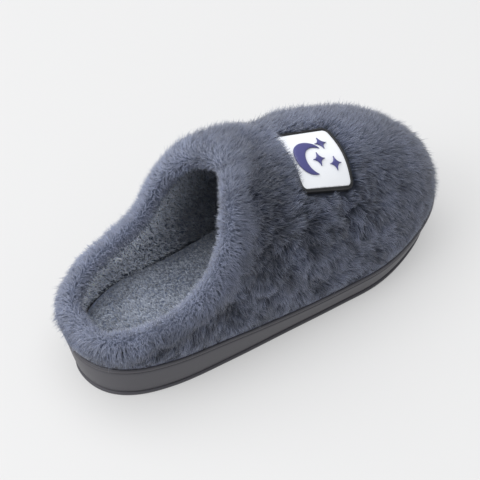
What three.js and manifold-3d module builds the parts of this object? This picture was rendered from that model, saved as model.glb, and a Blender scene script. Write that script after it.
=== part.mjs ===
// A right house slipper: a closed plush mule with a low furry roll round the heel, on a thick foam sole.
// The toe points along +X, the inner (big toe) side is +Y, and +Z is up. Lengths are in millimetres.

import * as THREE from 'three';
import { mergeVertices } from 'three/addons/utils/BufferGeometryUtils.js';
import Module from 'manifold-3d';

const wasm = await Module();
wasm.setup();

// Sole sizes
const LENGTH = 270;
const BALL_WIDTH = 102;
const SIDEWALL_FLARE = 4.9;
const HEEL_STACK = 29;
const FORE_STACK = 22;
const TOE_SPRING = 11.2;
const SPRING_START = 0.68;
const OUTSOLE_THICKNESS = 2.8;
const GROOVE_DEPTH = 1.3;
const EDGE_ROUND = 0.8;
const LIP_WIDTH = 2.2;
const LEDGE_DROP = 2.5;
const TREAD_PITCH = 17;
const TREAD_WIDTH = 3;
const TREAD_DEPTH = 0.9;
const TREAD_MARGIN = 11;

// Footbed sizes
const INSOLE_EDGE = 7.6;
const INSOLE_ROUND = 2.4;
const INSOLE_CROWN = 1.6;
const INSOLE_SHOULDER = 16;

// Upper sizes: the wall is cloth with pile on both faces, and the roll is its folded, fuller rim
const THROAT_HEIGHT = 119;
const HEEL_RIM_HEIGHT = 40;
const OUTER_PILE = 5;
const INNER_PILE = 3;
const ROLL_RADIUS = 7;
const FOOT_TRIM = 1.5;

// Fur locks
const LOCK_SPACING = 14;
const LOCK_APART = 12.4;
const LOCK_LENGTH = 8;
const LOCK_ROOT = 5.8;
const LOCK_SINK = 2.4;
const LOCK_LEAN = 0.7;
const LOCK_JITTER = 0.4;
const LOCK_SWIRL = 0.9;
const LOCK_SMALLEST = 0.85;
const LOCK_VARIETY = 0.35;
const ROLL_SHARE = 0.7;

// Moulded badge on the outer side of the toe cap
const BADGE_WIDTH = 44;
const BADGE_HEIGHT = 44;
const BADGE_CORNER = 5;
const BADGE_POCKET = 2.6;
const BADGE_PROUD = 1;
const BADGE_RIM = 1.8;
const BADGE_RECESS = 1.6;
const BADGE_AROUND = 0.81;
const BADGE_UP = 0.72;
const BADGE_TURN = -84;
const MOON_RADIUS = 11.5;
const MOON_BITE = 0.82;
const MOON_SHIFT = 0.5;
const MOON_TURN = -0.45;
const STAR_RADIUS = 4.8;
const STAR_WAIST = 0.45;
const MOTIF_HEIGHT = 1.1;

const FIT_GAP = 0.3;

// Facets
const COLUMNS = 60;
const OUTER_ROWS = 9;
const INNER_ROWS = 6;
const ROLL_ROWS = 5;
const BADGE_CELLS = 8;

const TAU = 2 * Math.PI;

// Half widths of the ground outline, as shares of half the ball width, at shares of the length
const OUTLINE = [
  { along: 0, outer: 0, inner: 0 },
  { along: 0.02, outer: 0.37, inner: 0.345 },
  { along: 0.06, outer: 0.57, inner: 0.52 },
  { along: 0.15, outer: 0.75, inner: 0.685 },
  { along: 0.3, outer: 0.85, inner: 0.71 },
  { along: 0.45, outer: 0.91, inner: 0.795 },
  { along: 0.6, outer: 0.97, inner: 0.9 },
  { along: 0.72, outer: 1, inner: 1.015 },
  { along: 0.85, outer: 0.867, inner: 0.87 },
  { along: 0.94, outer: 0.635, inner: 0.7 },
  { along: 0.985, outer: 0.342, inner: 0.37 },
  { along: 1, outer: 0, inner: 0 },
];

// Height of the sidewall's top edge, from the fore stack (0) to the heel stack (1)
const STACK = [
  { along: 0, heel: 1 },
  { along: 0.2, heel: 0.92 },
  { along: 0.5, heel: 0 },
  { along: 0.8, heel: 0 },
  { along: 1, heel: 0 },
];

// The upper's meridians, one row for each station of its foot along the sole. The roll's middle line is at
// back (share of the length from the heel), side (share of the half width) and rise (share from the heel
// rim's height to the throat's). lift and belly steer the curve where it leaves the sole, and reach and
// droop where it meets the roll: lift and droop are shares of the throat height, belly of half the ball.
const MERIDIANS = [
  { along: 0, back: 0.0074, side: 0.94, rise: 0, lift: 0.077, reach: 0.1, droop: 0.076, belly: 0.057 },
  { along: 0.02, back: 0.0148, side: 0.96, rise: 0.057, lift: 0.09, reach: 0.1, droop: 0.06, belly: 0.053 },
  { along: 0.08, back: 0.072, side: 1.015, rise: 0.126, lift: 0.1, reach: 0.09, droop: 0.05, belly: 0.05 },
  { along: 0.18, back: 0.171, side: 0.99, rise: 0.22, lift: 0.128, reach: 0.08, droop: 0.043, belly: 0.048 },
  { along: 0.3, back: 0.253, side: 0.915, rise: 0.403, lift: 0.168, reach: 0.08, droop: 0.042, belly: 0.065 },
  { along: 0.42, back: 0.306, side: 0.81, rise: 0.673, lift: 0.25, reach: 0.17, droop: 0.042, belly: 0.082 },
  { along: 0.55, back: 0.338, side: 0.6, rise: 0.862, lift: 0.328, reach: 0.3, droop: 0.044, belly: 0.078 },
  { along: 0.7, back: 0.364, side: 0.395, rise: 0.956, lift: 0.382, reach: 0.4, droop: 0.056, belly: 0.065 },
  { along: 0.85, back: 0.388, side: 0.23, rise: 0.985, lift: 0.437, reach: 0.45, droop: 0.092, belly: 0.041 },
  { along: 1, back: 0.398, side: 0.15, rise: 1, lift: 0.455, reach: 0.46, droop: 0.134, belly: 0.016 },
];

// A smooth curve through a table's points: each slope is the mean of its neighbours', weighted by spacing
function smooth(places, values) {
  const last = places.length - 1;
  const step = (i) => places[i + 1] - places[i];
  const rise = (i) => (values[i + 1] - values[i]) / step(i);
  const slopes = values.map((value, i) => {
    if (i === 0 || i === last) return 0;
    return (rise(i - 1) * step(i) + rise(i) * step(i - 1)) / (step(i) + step(i - 1));
  });
  slopes[0] = 2 * rise(0) - slopes[1];
  slopes[last] = 2 * rise(last - 1) - slopes[last - 1];
  return (place) => {
    let i = 0;
    while (i < last - 1 && place > places[i + 1]) i += 1;
    const h = step(i);
    const u = (place - places[i]) / h;
    const v = 1 - u;
    const start = (1 + 2 * u) * v * v * values[i] + u * v * v * h * slopes[i];
    return start + u * u * (3 - 2 * u) * values[i + 1] - u * u * v * h * slopes[i + 1];
  };
}

const column = (table, name) => table.map((row) => row[name]);
const turnAt = (along) => Math.acos(1 - 2 * along);
const alongAt = (turn) => (1 - Math.cos(turn)) / 2;
const mix = (from, to, share) => from + (to - from) * share;
const limit = (value, low, high) => Math.min(high, Math.max(low, value));

const outlineTurns = column(OUTLINE, 'along').map(turnAt);
const outerWidth = smooth(outlineTurns, column(OUTLINE, 'outer'));
const innerWidth = smooth(outlineTurns, column(OUTLINE, 'inner'));
const heelShare = smooth(column(STACK, 'along'), column(STACK, 'heel'));
const meridian = {};
for (const name of ['back', 'side', 'rise', 'lift', 'reach', 'droop', 'belly']) {
  meridian[name] = smooth(column(MERIDIANS, 'along'), column(MERIDIANS, name));
}

// The turn runs from 0 at the heel, along the outer side to PI at the toe, and back along the inner side
function side(turn) {
  const wrapped = ((turn % TAU) + TAU) % TAU;
  const outer = wrapped <= Math.PI;
  const half = outer ? wrapped : TAU - wrapped;
  const width = (outer ? outerWidth(half) : innerWidth(half)) * BALL_WIDTH / 2;
  return { half, along: alongAt(half), sign: outer ? -1 : 1, width };
}

function groundPoint(turn) {
  const at = side(turn);
  return new THREE.Vector3((at.along - 0.5) * LENGTH, at.sign * at.width, 0);
}

function outward(turn) {
  const ahead = groundPoint(turn + 1e-3).sub(groundPoint(turn - 1e-3)).normalize();
  return new THREE.Vector3(ahead.y, -ahead.x, 0);
}

// A point of the outline grown sideways, lifted to a height that depends only on its place along the shoe
function edgePoint(turn, grow, height) {
  const point = groundPoint(turn).addScaledVector(outward(turn), grow);
  point.z = height(point.x);
  return point;
}

const share = (x) => limit(x / LENGTH + 0.5, 0, 1);
const floorLine = (x) => TOE_SPRING * Math.max(0, (share(x) - SPRING_START) / (1 - SPRING_START)) ** 2;
const sidewallTop = (x) => floorLine(x) + mix(FORE_STACK, HEEL_STACK, heelShare(share(x)));
const ledgeTop = (x) => sidewallTop(x) - LEDGE_DROP;
const above = (line, rise) => (x) => line(x) + rise;
const between = (low, high, part) => (x) => mix(low(x), high(x), part);

// Faceted bodies
function solid(points, triangles) {
  const geometry = new THREE.BufferGeometry();
  geometry.setAttribute('position', new THREE.Float32BufferAttribute(points.flatMap((p) => [p.x, p.y, p.z]), 3));
  geometry.setIndex(triangles.flat());
  return geometry;
}

const grid = (rows, columns, place) => {
  const points = [];
  for (let j = 0; j < rows; j += 1) {
    for (let i = 0; i < columns; i += 1) points.push(place(i, j));
  }
  return points;
};

// Rings of the sole's outline stacked into a body, its ends closed by strips from side to side
function stacked(rings) {
  const points = grid(rings.length, COLUMNS, (i, j) => {
    return edgePoint(TAU * i / COLUMNS, rings[j].grow, rings[j].height);
  });
  const triangles = [];
  for (let j = 0; j + 1 < rings.length; j += 1) {
    for (let i = 0; i < COLUMNS; i += 1) {
      const a = j * COLUMNS + i;
      const b = j * COLUMNS + (i + 1) % COLUMNS;
      triangles.push([a, b, b + COLUMNS], [a, b + COLUMNS, a + COLUMNS]);
    }
  }
  const top = (rings.length - 1) * COLUMNS;
  for (let i = 0; i < COLUMNS / 2; i += 1) {
    const near = i;
    const nearNext = i + 1;
    const far = (COLUMNS - i) % COLUMNS;
    const farNext = COLUMNS - i - 1;
    if (i > 0) {
      triangles.push([near, far, nearNext]);
      triangles.push([top + near, top + nearNext, top + far]);
    }
    if (nearNext !== farNext) {
      triangles.push([far, farNext, nearNext]);
      triangles.push([top + far, top + nearNext, top + farNext]);
    }
  }
  return solid(points, triangles);
}

// Joining and cutting
function toManifold(geometry) {
  const bare = geometry.clone();
  bare.deleteAttribute('normal');
  bare.deleteAttribute('uv');
  const merged = mergeVertices(bare, 1e-4);
  const vertProperties = Float32Array.from(merged.attributes.position.array);
  const triVerts = Uint32Array.from(merged.index.array);
  return new wasm.Manifold(new wasm.Mesh({ numProp: 3, vertProperties, triVerts }));
}

function toGeometry(body) {
  const mesh = body.getMesh();
  const geometry = new THREE.BufferGeometry();
  geometry.setAttribute('position', new THREE.Float32BufferAttribute(Array.from(mesh.vertProperties), 3));
  geometry.setIndex(Array.from(mesh.triVerts));
  return geometry;
}

// Sole
function outsoleGeometry() {
  const slab = stacked([
    { grow: -EDGE_ROUND, height: floorLine },
    { grow: 0, height: above(floorLine, EDGE_ROUND) },
    { grow: 0, height: above(floorLine, OUTSOLE_THICKNESS - EDGE_ROUND) },
    { grow: -GROOVE_DEPTH, height: above(floorLine, OUTSOLE_THICKNESS) },
  ]);
  let body = toManifold(slab);
  const count = Math.floor((LENGTH - 2 * TREAD_MARGIN) / TREAD_PITCH);
  for (let i = 0; i < count; i += 1) {
    const x = (i - (count - 1) / 2) * TREAD_PITCH;
    const half = turnAt(share(x));
    const reach = (point) => Math.abs(point.y) - TREAD_MARGIN;
    const outer = reach(groundPoint(half));
    const inner = reach(groundPoint(TAU - half));
    const bar = new THREE.BoxGeometry(TREAD_WIDTH, outer + inner, 2 * TREAD_DEPTH);
    bar.translate(x, (inner - outer) / 2, floorLine(x));
    body = body.subtract(toManifold(bar));
  }
  return toGeometry(body);
}

function midsoleGeometry() {
  const foot = above(floorLine, OUTSOLE_THICKNESS + FIT_GAP);
  const wall = (part) => between(foot, sidewallTop, part);
  return stacked([
    { grow: -GROOVE_DEPTH, height: foot },
    { grow: 0.06 * SIDEWALL_FLARE, height: above(foot, EDGE_ROUND) },
    { grow: 0.45 * SIDEWALL_FLARE, height: wall(0.3) },
    { grow: 0.8 * SIDEWALL_FLARE, height: wall(0.62) },
    { grow: SIDEWALL_FLARE, height: above(sidewallTop, -2 * EDGE_ROUND) },
    { grow: SIDEWALL_FLARE - EDGE_ROUND, height: sidewallTop },
    { grow: SIDEWALL_FLARE - LIP_WIDTH, height: sidewallTop },
    { grow: SIDEWALL_FLARE - LIP_WIDTH, height: ledgeTop },
  ]);
}

// The upper's foot stands on the ledge and leans over the lip, and the footbed fills what it leaves
const UPPER_FOOT = SIDEWALL_FLARE - LIP_WIDTH - FIT_GAP - OUTER_PILE;
const FOOTBED_EDGE = UPPER_FOOT - INNER_PILE - FIT_GAP;
const seat = above(ledgeTop, FIT_GAP);

// Everything that the upper has to clear: the ledge, the lip and the sidewall, with the fitting gap round them
function soleClearance() {
  const beyond = SIDEWALL_FLARE + 2 * ROLL_RADIUS;
  return toManifold(stacked([
    { grow: beyond, height: floorLine },
    { grow: beyond, height: above(sidewallTop, FIT_GAP) },
    { grow: SIDEWALL_FLARE - LIP_WIDTH - FIT_GAP, height: above(sidewallTop, FIT_GAP) },
    { grow: SIDEWALL_FLARE - LIP_WIDTH - FIT_GAP, height: seat },
  ]));
}

// The footbed's rings, bottom first, grown by the space that is left round it
function footbedRings(space) {
  const rim = above(seat, INSOLE_EDGE + space);
  const edge = FOOTBED_EDGE + space;
  return [
    { grow: edge, height: above(seat, -space) },
    { grow: edge, height: above(rim, -INSOLE_ROUND) },
    { grow: edge - 0.3 * INSOLE_ROUND, height: above(rim, -0.35 * INSOLE_ROUND) },
    { grow: edge - INSOLE_ROUND, height: rim },
    { grow: edge - 0.5 * INSOLE_SHOULDER, height: above(rim, 0.7 * INSOLE_CROWN) },
    { grow: edge - INSOLE_SHOULDER, height: above(rim, INSOLE_CROWN) },
  ];
}

// The upper's middle surface: a cubic curve from the sole's ledge (up = 0) to the roll's middle line (up = 1)
function middle(turn, up) {
  const at = side(turn);
  const value = (name) => meridian[name](at.along);
  const foot = edgePoint(turn, UPPER_FOOT, above(ledgeTop, -FOOT_TRIM));
  const rim = new THREE.Vector3(
    (value('back') - 0.5) * LENGTH,
    at.sign * value('side') * at.width,
    mix(HEEL_RIM_HEIGHT, THROAT_HEIGHT, value('rise')),
  );
  const leave = foot.clone().addScaledVector(outward(turn), value('belly') * BALL_WIDTH / 2);
  leave.z += value('lift') * THROAT_HEIGHT;
  const arrive = rim.clone();
  arrive.x += value('reach') * (foot.x - rim.x);
  arrive.y += value('reach') * (foot.y - rim.y);
  arrive.z -= value('droop') * THROAT_HEIGHT;
  const down = 1 - up;
  return foot.multiplyScalar(down ** 3)
    .addScaledVector(leave, 3 * up * down * down)
    .addScaledVector(arrive, 3 * up * up * down)
    .addScaledVector(rim, up ** 3);
}

// Directions on the middle surface: along the meridian, and out through the wall
function directions(turn, up) {
  const small = 1e-3;
  const climb = middle(turn, Math.min(1, up + small)).sub(middle(turn, Math.max(0, up - small))).normalize();
  const round = middle(turn + small, up).sub(middle(turn - small, up));
  const out = up === 0 ? outward(turn) : round.cross(climb).normalize();
  return { climb, out };
}

const outerDepth = (up) => mix(OUTER_PILE, ROLL_RADIUS, up * up);
const innerDepth = (up) => mix(INNER_PILE, ROLL_RADIUS, up * up);

function offsetPoint(turn, up, depth) {
  return middle(turn, up).addScaledVector(directions(turn, up).out, depth);
}

function outerPoint(turn, up, proud = 0) {
  return offsetPoint(turn, up, outerDepth(up) + proud);
}

function rollPoint(turn, lean) {
  const { climb, out } = directions(turn, 1);
  return middle(turn, 1)
    .addScaledVector(out, ROLL_RADIUS * Math.cos(lean))
    .addScaledVector(climb, ROLL_RADIUS * Math.sin(lean));
}

// One closed wall: up the outside, over the roll, down the inside and across the foot
function wallGeometry() {
  const rows = [];
  for (let j = 0; j < OUTER_ROWS; j += 1) rows.push((turn) => outerPoint(turn, j / OUTER_ROWS));
  for (let j = 0; j <= ROLL_ROWS; j += 1) rows.push((turn) => rollPoint(turn, Math.PI * j / ROLL_ROWS));
  for (let j = INNER_ROWS - 1; j >= 0; j -= 1) {
    const up = j / INNER_ROWS;
    rows.push((turn) => offsetPoint(turn, up, -innerDepth(up)));
  }
  const points = grid(rows.length, COLUMNS, (i, j) => rows[j](TAU * i / COLUMNS));
  const triangles = [];
  for (let j = 0; j < rows.length; j += 1) {
    for (let i = 0; i < COLUMNS; i += 1) {
      const nextColumn = (i + 1) % COLUMNS;
      const nextRow = (j + 1) % rows.length;
      const a = j * COLUMNS + i;
      const b = j * COLUMNS + nextColumn;
      const c = nextRow * COLUMNS + nextColumn;
      const d = nextRow * COLUMNS + i;
      triangles.push([a, b, c], [a, c, d]);
    }
  }
  return solid(points, triangles);
}

// The badge's own frame on the wall: its middle, its outward axis, and its sideways and upward axes
function badgeFrame() {
  const turn = BADGE_AROUND * Math.PI;
  const { climb, out } = directions(turn, BADGE_UP);
  const upward = climb.clone().applyAxisAngle(out, THREE.MathUtils.degToRad(BADGE_TURN));
  const sideways = upward.clone().cross(out).normalize();
  const origin = outerPoint(turn, BADGE_UP);
  const matrix = new THREE.Matrix4().makeBasis(sideways, out.clone().cross(sideways), out);
  matrix.setPosition(origin);
  return { turn, origin, matrix };
}

const badge = badgeFrame();

// How far the wall's outer surface runs at the badge for a turn, or for a climb, of one
function badgeStretch() {
  const near = 0.05;
  const span = (turnStep, upStep) => {
    const ahead = outerPoint(badge.turn + turnStep, BADGE_UP + upStep);
    return ahead.distanceTo(outerPoint(badge.turn - turnStep, BADGE_UP - upStep)) / (2 * near);
  };
  return { perTurn: span(near, 0), perUp: span(0, near) };
}

// A layer of the wall's outer surface under the badge, between two heights above the fur's ground. It is
// wider than the badge every way, and stops just short of the roll.
function layer(low, high) {
  const reach = 0.75 * Math.hypot(BADGE_WIDTH, BADGE_HEIGHT);
  const stretch = badgeStretch();
  const turnReach = reach / stretch.perTurn;
  const upReach = Math.min(reach / stretch.perUp, 0.98 - BADGE_UP);
  const n = BADGE_CELLS + 1;
  const sheet = (proud) => grid(n, n, (i, j) => {
    const turn = badge.turn + turnReach * (2 * i / BADGE_CELLS - 1);
    const up = BADGE_UP + upReach * (2 * j / BADGE_CELLS - 1);
    return outerPoint(turn, up, proud);
  });
  const points = [...sheet(low), ...sheet(high)];
  const triangles = [];
  const at = (i, j, top) => top * n * n + j * n + i;
  const quad = (a, b, c, d) => triangles.push([a, b, c], [a, c, d]);
  for (let j = 0; j < BADGE_CELLS; j += 1) {
    for (let i = 0; i < BADGE_CELLS; i += 1) {
      quad(at(i, j, 1), at(i + 1, j, 1), at(i + 1, j + 1, 1), at(i, j + 1, 1));
      quad(at(i, j, 0), at(i, j + 1, 0), at(i + 1, j + 1, 0), at(i + 1, j, 0));
    }
    quad(at(j, 0, 0), at(j + 1, 0, 0), at(j + 1, 0, 1), at(j, 0, 1));
    quad(at(j + 1, BADGE_CELLS, 0), at(j, BADGE_CELLS, 0), at(j, BADGE_CELLS, 1), at(j + 1, BADGE_CELLS, 1));
    quad(at(0, j + 1, 0), at(0, j, 0), at(0, j, 1), at(0, j + 1, 1));
    quad(at(BADGE_CELLS, j, 0), at(BADGE_CELLS, j + 1, 0), at(BADGE_CELLS, j + 1, 1), at(BADGE_CELLS, j, 1));
  }
  return toManifold(solid(points, triangles));
}

// A flat shape pushed straight through the wall along the badge's outward axis
function stamp(shape) {
  const depth = 2 * ROLL_RADIUS + BADGE_WIDTH / 2;
  const geometry = new THREE.ExtrudeGeometry(shape, { depth, bevelEnabled: false, curveSegments: 4 });
  geometry.translate(0, 0, -depth / 2);
  geometry.applyMatrix4(badge.matrix);
  return toManifold(geometry);
}

function card(grow) {
  const w = BADGE_WIDTH / 2 + grow;
  const h = BADGE_HEIGHT / 2 + grow;
  const r = BADGE_CORNER + grow;
  const shape = new THREE.Shape();
  shape.moveTo(-w + r, -h);
  shape.absarc(w - r, -h + r, r, -Math.PI / 2, 0, false);
  shape.absarc(w - r, h - r, r, 0, Math.PI / 2, false);
  shape.absarc(-w + r, h - r, r, Math.PI / 2, Math.PI, false);
  shape.absarc(-w + r, -h + r, r, Math.PI, 1.5 * Math.PI, false);
  return shape;
}

// A crescent: the moon's disc less a smaller disc, shifted towards the stars
function crescent() {
  const bite = MOON_BITE * MOON_RADIUS;
  const shift = MOON_SHIFT * MOON_RADIUS;
  const cross = (MOON_RADIUS ** 2 - bite ** 2 + shift ** 2) / (2 * shift);
  const outerTip = Math.acos(cross / MOON_RADIUS);
  const innerTip = Math.acos((cross - shift) / bite);
  const shape = new THREE.Shape();
  shape.absarc(0, 0, MOON_RADIUS, outerTip, TAU - outerTip, false);
  shape.absarc(shift, 0, bite, TAU - innerTip, innerTip, true);
  return shape;
}

function star() {
  const shape = new THREE.Shape();
  for (let i = 0; i < 8; i += 1) {
    const radius = i % 2 ? STAR_WAIST * STAR_RADIUS : STAR_RADIUS;
    const angle = Math.PI * i / 4 + Math.PI / 2;
    const point = [radius * Math.cos(angle), radius * Math.sin(angle)];
    if (i) shape.lineTo(...point);
    else shape.moveTo(...point);
  }
  return shape;
}

function moved(shape, x, y, turn = 0) {
  const points = shape.getPoints(9).map((p) => p.clone().rotateAround(new THREE.Vector2(), turn));
  return new THREE.Shape(points.map((p) => new THREE.Vector2(p.x + x, p.y + y)));
}

const badgeFloor = BADGE_PROUD - BADGE_RECESS;
const fieldTop = BADGE_PROUD - 0.35 * BADGE_RECESS;
const badgeSeat = -BADGE_POCKET + FIT_GAP;

function badgeBaseGeometry() {
  const plate = layer(badgeSeat, BADGE_PROUD).intersect(stamp(card(0)));
  const recess = layer(badgeFloor, 2 * BADGE_PROUD).intersect(stamp(card(-BADGE_RIM)));
  return toGeometry(plate.subtract(recess));
}

function badgeFieldGeometry() {
  return toGeometry(layer(badgeFloor + FIT_GAP, fieldTop).intersect(stamp(card(-BADGE_RIM - FIT_GAP))));
}

function motifGeometry(shape) {
  const seatHeight = fieldTop + FIT_GAP;
  return toGeometry(layer(seatHeight, seatHeight + MOTIF_HEIGHT).intersect(stamp(shape)));
}

// Fur: leaning three-sided locks in staggered rows, fused to the wall
const scatter = (i, j, k) => {
  const wave = Math.sin(12.9898 * i + 78.233 * j + 37.719 * k) * 43758.5453;
  return wave - Math.floor(wave);
};

function lockGeometry(root, out, flow, size) {
  const across = flow.clone().cross(out).normalize();
  const ahead = across.clone().cross(out).normalize();
  const points = [];
  for (let k = 0; k < 3; k += 1) {
    const angle = TAU * k / 3;
    points.push(root.clone()
      .addScaledVector(out, -LOCK_SINK)
      .addScaledVector(ahead, LOCK_ROOT * size * Math.cos(angle))
      .addScaledVector(across, LOCK_ROOT * size * Math.sin(angle)));
  }
  const reach = out.clone().addScaledVector(flow, LOCK_LEAN).normalize();
  points.push(root.clone().addScaledVector(reach, LOCK_LENGTH * size));
  return solid(points, [[0, 2, 1], [0, 1, 3], [1, 2, 3], [2, 0, 3]]);
}

// A place for a lock, so far up the outside from the sole, and past the wall's top over the roll
function furPlace(turn, way, tall) {
  const up = limit(way / tall, 0, 1);
  const lean = Math.max(0, way - tall) / ROLL_RADIUS;
  const { climb, out } = directions(turn, up);
  const axis = out.clone().multiplyScalar(Math.cos(lean)).addScaledVector(climb, Math.sin(lean));
  const flow = out.clone().multiplyScalar(Math.sin(lean)).addScaledVector(climb, -Math.cos(lean));
  return { root: lean > 0 ? rollPoint(turn, lean) : outerPoint(turn, up), axis, flow };
}

function furLocks() {
  const locks = [];
  const roots = [];
  const files = Math.round(2 * (LENGTH + BALL_WIDTH) / LOCK_SPACING);
  for (let i = 0; i < files; i += 1) {
    const turn = TAU * (i + 0.5) / files;
    const tall = middle(turn, 0).distanceTo(middle(turn, 0.5)) + middle(turn, 0.5).distanceTo(middle(turn, 1));
    const path = tall + ROLL_SHARE * Math.PI * ROLL_RADIUS;
    const count = Math.round(path / LOCK_SPACING);
    for (let j = 0; j < count; j += 1) {
      const at = turn + LOCK_JITTER * (scatter(i, j, 1) - 0.5) * TAU / files;
      const stagger = i % 2 ? 0.85 : 0.35;
      const way = path * (j + stagger + LOCK_JITTER * (scatter(i, j, 2) - 0.5)) / count;
      const { root, axis, flow } = furPlace(at, Math.min(way, path), tall);
      flow.applyAxisAngle(axis, LOCK_SWIRL * (scatter(i, j, 3) - 0.5));
      const size = LOCK_SMALLEST + LOCK_VARIETY * scatter(i, j, 4);
      const tip = root.z + LOCK_LENGTH * size * Math.min(0, axis.z + LOCK_LEAN * flow.z);
      const lowest = Math.min(tip, root.z - LOCK_ROOT * size);
      const clear = lowest > sidewallTop(root.x) + FIT_GAP;
      const offBadge = root.distanceTo(badge.origin) > Math.hypot(BADGE_WIDTH, BADGE_HEIGHT) / 2 + LOCK_ROOT;
      const free = roots.every((other) => other.distanceTo(root) > LOCK_APART);
      if (!clear || !offBadge || !free) continue;
      roots.push(root);
      locks.push(lockGeometry(root, axis, flow, size));
    }
  }
  return locks;
}

function upperGeometry() {
  let body = toManifold(wallGeometry())
    .subtract(soleClearance())
    .subtract(toManifold(stacked(footbedRings(FIT_GAP))));
  for (const lock of furLocks()) body = body.add(toManifold(lock));
  const pocket = layer(-BADGE_POCKET, 2 * LOCK_LENGTH).intersect(stamp(card(FIT_GAP)));
  return toGeometry(body.subtract(pocket));
}

// Finishes
const plush = new THREE.MeshStandardMaterial({ color: 0x6c7184, roughness: 1, metalness: 0 });
const lining = new THREE.MeshStandardMaterial({ color: 0x7b808c, roughness: 1, metalness: 0 });
const foam = new THREE.MeshStandardMaterial({ color: 0x5b5a60, roughness: 0.7, metalness: 0 });
const tread = new THREE.MeshStandardMaterial({ color: 0x504f54, roughness: 0.75, metalness: 0 });
const blackVinyl = new THREE.MeshStandardMaterial({ color: 0x17171a, roughness: 0.45, metalness: 0 });
const whiteVinyl = new THREE.MeshStandardMaterial({ color: 0xf1f4f8, roughness: 0.45, metalness: 0 });
const violetVinyl = new THREE.MeshStandardMaterial({ color: 0x4d4c80, roughness: 0.45, metalness: 0 });

const slipper = new THREE.Group();

function add(name, geometry, material) {
  const piece = new THREE.Mesh(geometry, material);
  piece.name = name;
  slipper.add(piece);
}

add('outsole', outsoleGeometry(), tread);
add('midsole', midsoleGeometry(), foam);
add('insole', stacked(footbedRings(0)), lining);
add('upper', upperGeometry(), plush);
add('badge_base', badgeBaseGeometry(), blackVinyl);
add('badge_field', badgeFieldGeometry(), whiteVinyl);
const moonPlace = [-0.14 * BADGE_WIDTH, -0.02 * BADGE_HEIGHT];
add('badge_moon', motifGeometry(moved(crescent(), ...moonPlace, MOON_TURN)), violetVinyl);
const starPlaces = [
  [0.17, 0.2],
  [0.25, -0.15],
  [-0.01, -0.06],
];
starPlaces.forEach(([x, y], i) => {
  add(`badge_star_${i + 1}`, motifGeometry(moved(star(), x * BADGE_WIDTH, y * BADGE_HEIGHT)), violetVinyl);
});

// The slipper stands on the floor, with its origin under the middle of its box
const box = new THREE.Box3().setFromObject(slipper);
const centre = box.getCenter(new THREE.Vector3());
slipper.position.set(-centre.x, -centre.y, -box.min.z);

export default slipper;
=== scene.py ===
# %% [markdown]
# # A plush house slipper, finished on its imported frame
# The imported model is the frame: it holds the slipper's real size and place, in metres, and is never moved.
# Every piece below is worked out in millimetres, as a slipper maker would, and one function sets it into
# the frame. The order is the maker's own: sole, footbed, upper, badge, and at the end the combed fur.

# %% Load the frame
import math

import bmesh
import bpy
import numpy as np
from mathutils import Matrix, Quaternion, Vector


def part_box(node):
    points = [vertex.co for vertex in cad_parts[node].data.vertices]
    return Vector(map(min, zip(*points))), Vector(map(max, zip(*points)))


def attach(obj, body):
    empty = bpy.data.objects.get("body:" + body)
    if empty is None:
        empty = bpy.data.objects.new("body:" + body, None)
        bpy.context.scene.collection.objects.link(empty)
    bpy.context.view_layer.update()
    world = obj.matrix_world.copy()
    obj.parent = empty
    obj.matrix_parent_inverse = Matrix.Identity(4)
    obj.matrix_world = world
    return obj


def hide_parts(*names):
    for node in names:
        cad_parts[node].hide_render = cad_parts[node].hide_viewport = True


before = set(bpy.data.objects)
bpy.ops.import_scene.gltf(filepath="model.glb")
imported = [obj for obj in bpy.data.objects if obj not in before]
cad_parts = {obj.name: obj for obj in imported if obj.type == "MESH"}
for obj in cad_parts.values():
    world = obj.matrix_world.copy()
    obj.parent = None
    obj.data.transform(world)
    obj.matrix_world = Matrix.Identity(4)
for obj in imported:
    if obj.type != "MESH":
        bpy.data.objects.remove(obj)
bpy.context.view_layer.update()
MM = 0.001
TAU = 2 * math.pi

sole_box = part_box("midsole")
sole_points = np.array([v.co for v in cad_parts["midsole"].data.vertices])
heel_point = sole_points[np.argmin(sole_points[:, 0])]
FRAME_SHIFT = np.array([(sole_box[0].x + sole_box[1].x) / 2, heel_point[1], 0.0])
print("the maker's frame is shifted by, mm:", np.round(FRAME_SHIFT / MM, 2))

# %% [markdown]
# ## Camera, floor and light
# The slipper stands flat on a pale floor. The camera keeps the angle at which the slipper is seen: from
# the outer side, behind the heel and well above it. A small turn about the line of sight keeps the tilt.
# A large soft panel hangs overhead, a little towards the heel and the inner side, so the roll and the
# toe's top are bright and the near outer side lies in its own shade. A smaller one shines from behind
# the heel. The floor glows a little of itself, like a lit backdrop, so the shadow on it stays pale.

# %% Camera
CAMERA_AZIMUTH = math.radians(-39.08)
CAMERA_ELEVATION = math.radians(44.65)
CAMERA_ROLL = math.radians(1.233)
CAMERA_AIM = Vector((-3.8, 13.5, 30.0)) * MM + Vector(FRAME_SHIFT)
CAMERA_DISTANCE = 0.8558
CAMERA_LENS = 98.9

camera_data = bpy.data.cameras.new("camera")
camera_data.lens = CAMERA_LENS
camera_data.sensor_width = 36.0
camera = bpy.data.objects.new("camera", camera_data)
bpy.context.scene.collection.objects.link(camera)
back = Vector((
    math.sin(CAMERA_AZIMUTH) * math.cos(CAMERA_ELEVATION),
    -math.cos(CAMERA_AZIMUTH) * math.cos(CAMERA_ELEVATION),
    math.sin(CAMERA_ELEVATION),
))
camera.location = CAMERA_AIM + back * CAMERA_DISTANCE
camera.rotation_mode = "QUATERNION"
camera.rotation_quaternion = (-back).to_track_quat("-Z", "Y") @ Quaternion((0, 0, 1), CAMERA_ROLL)
bpy.context.scene.camera = camera
print("camera at, m:", [round(c, 3) for c in camera.location])


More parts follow.
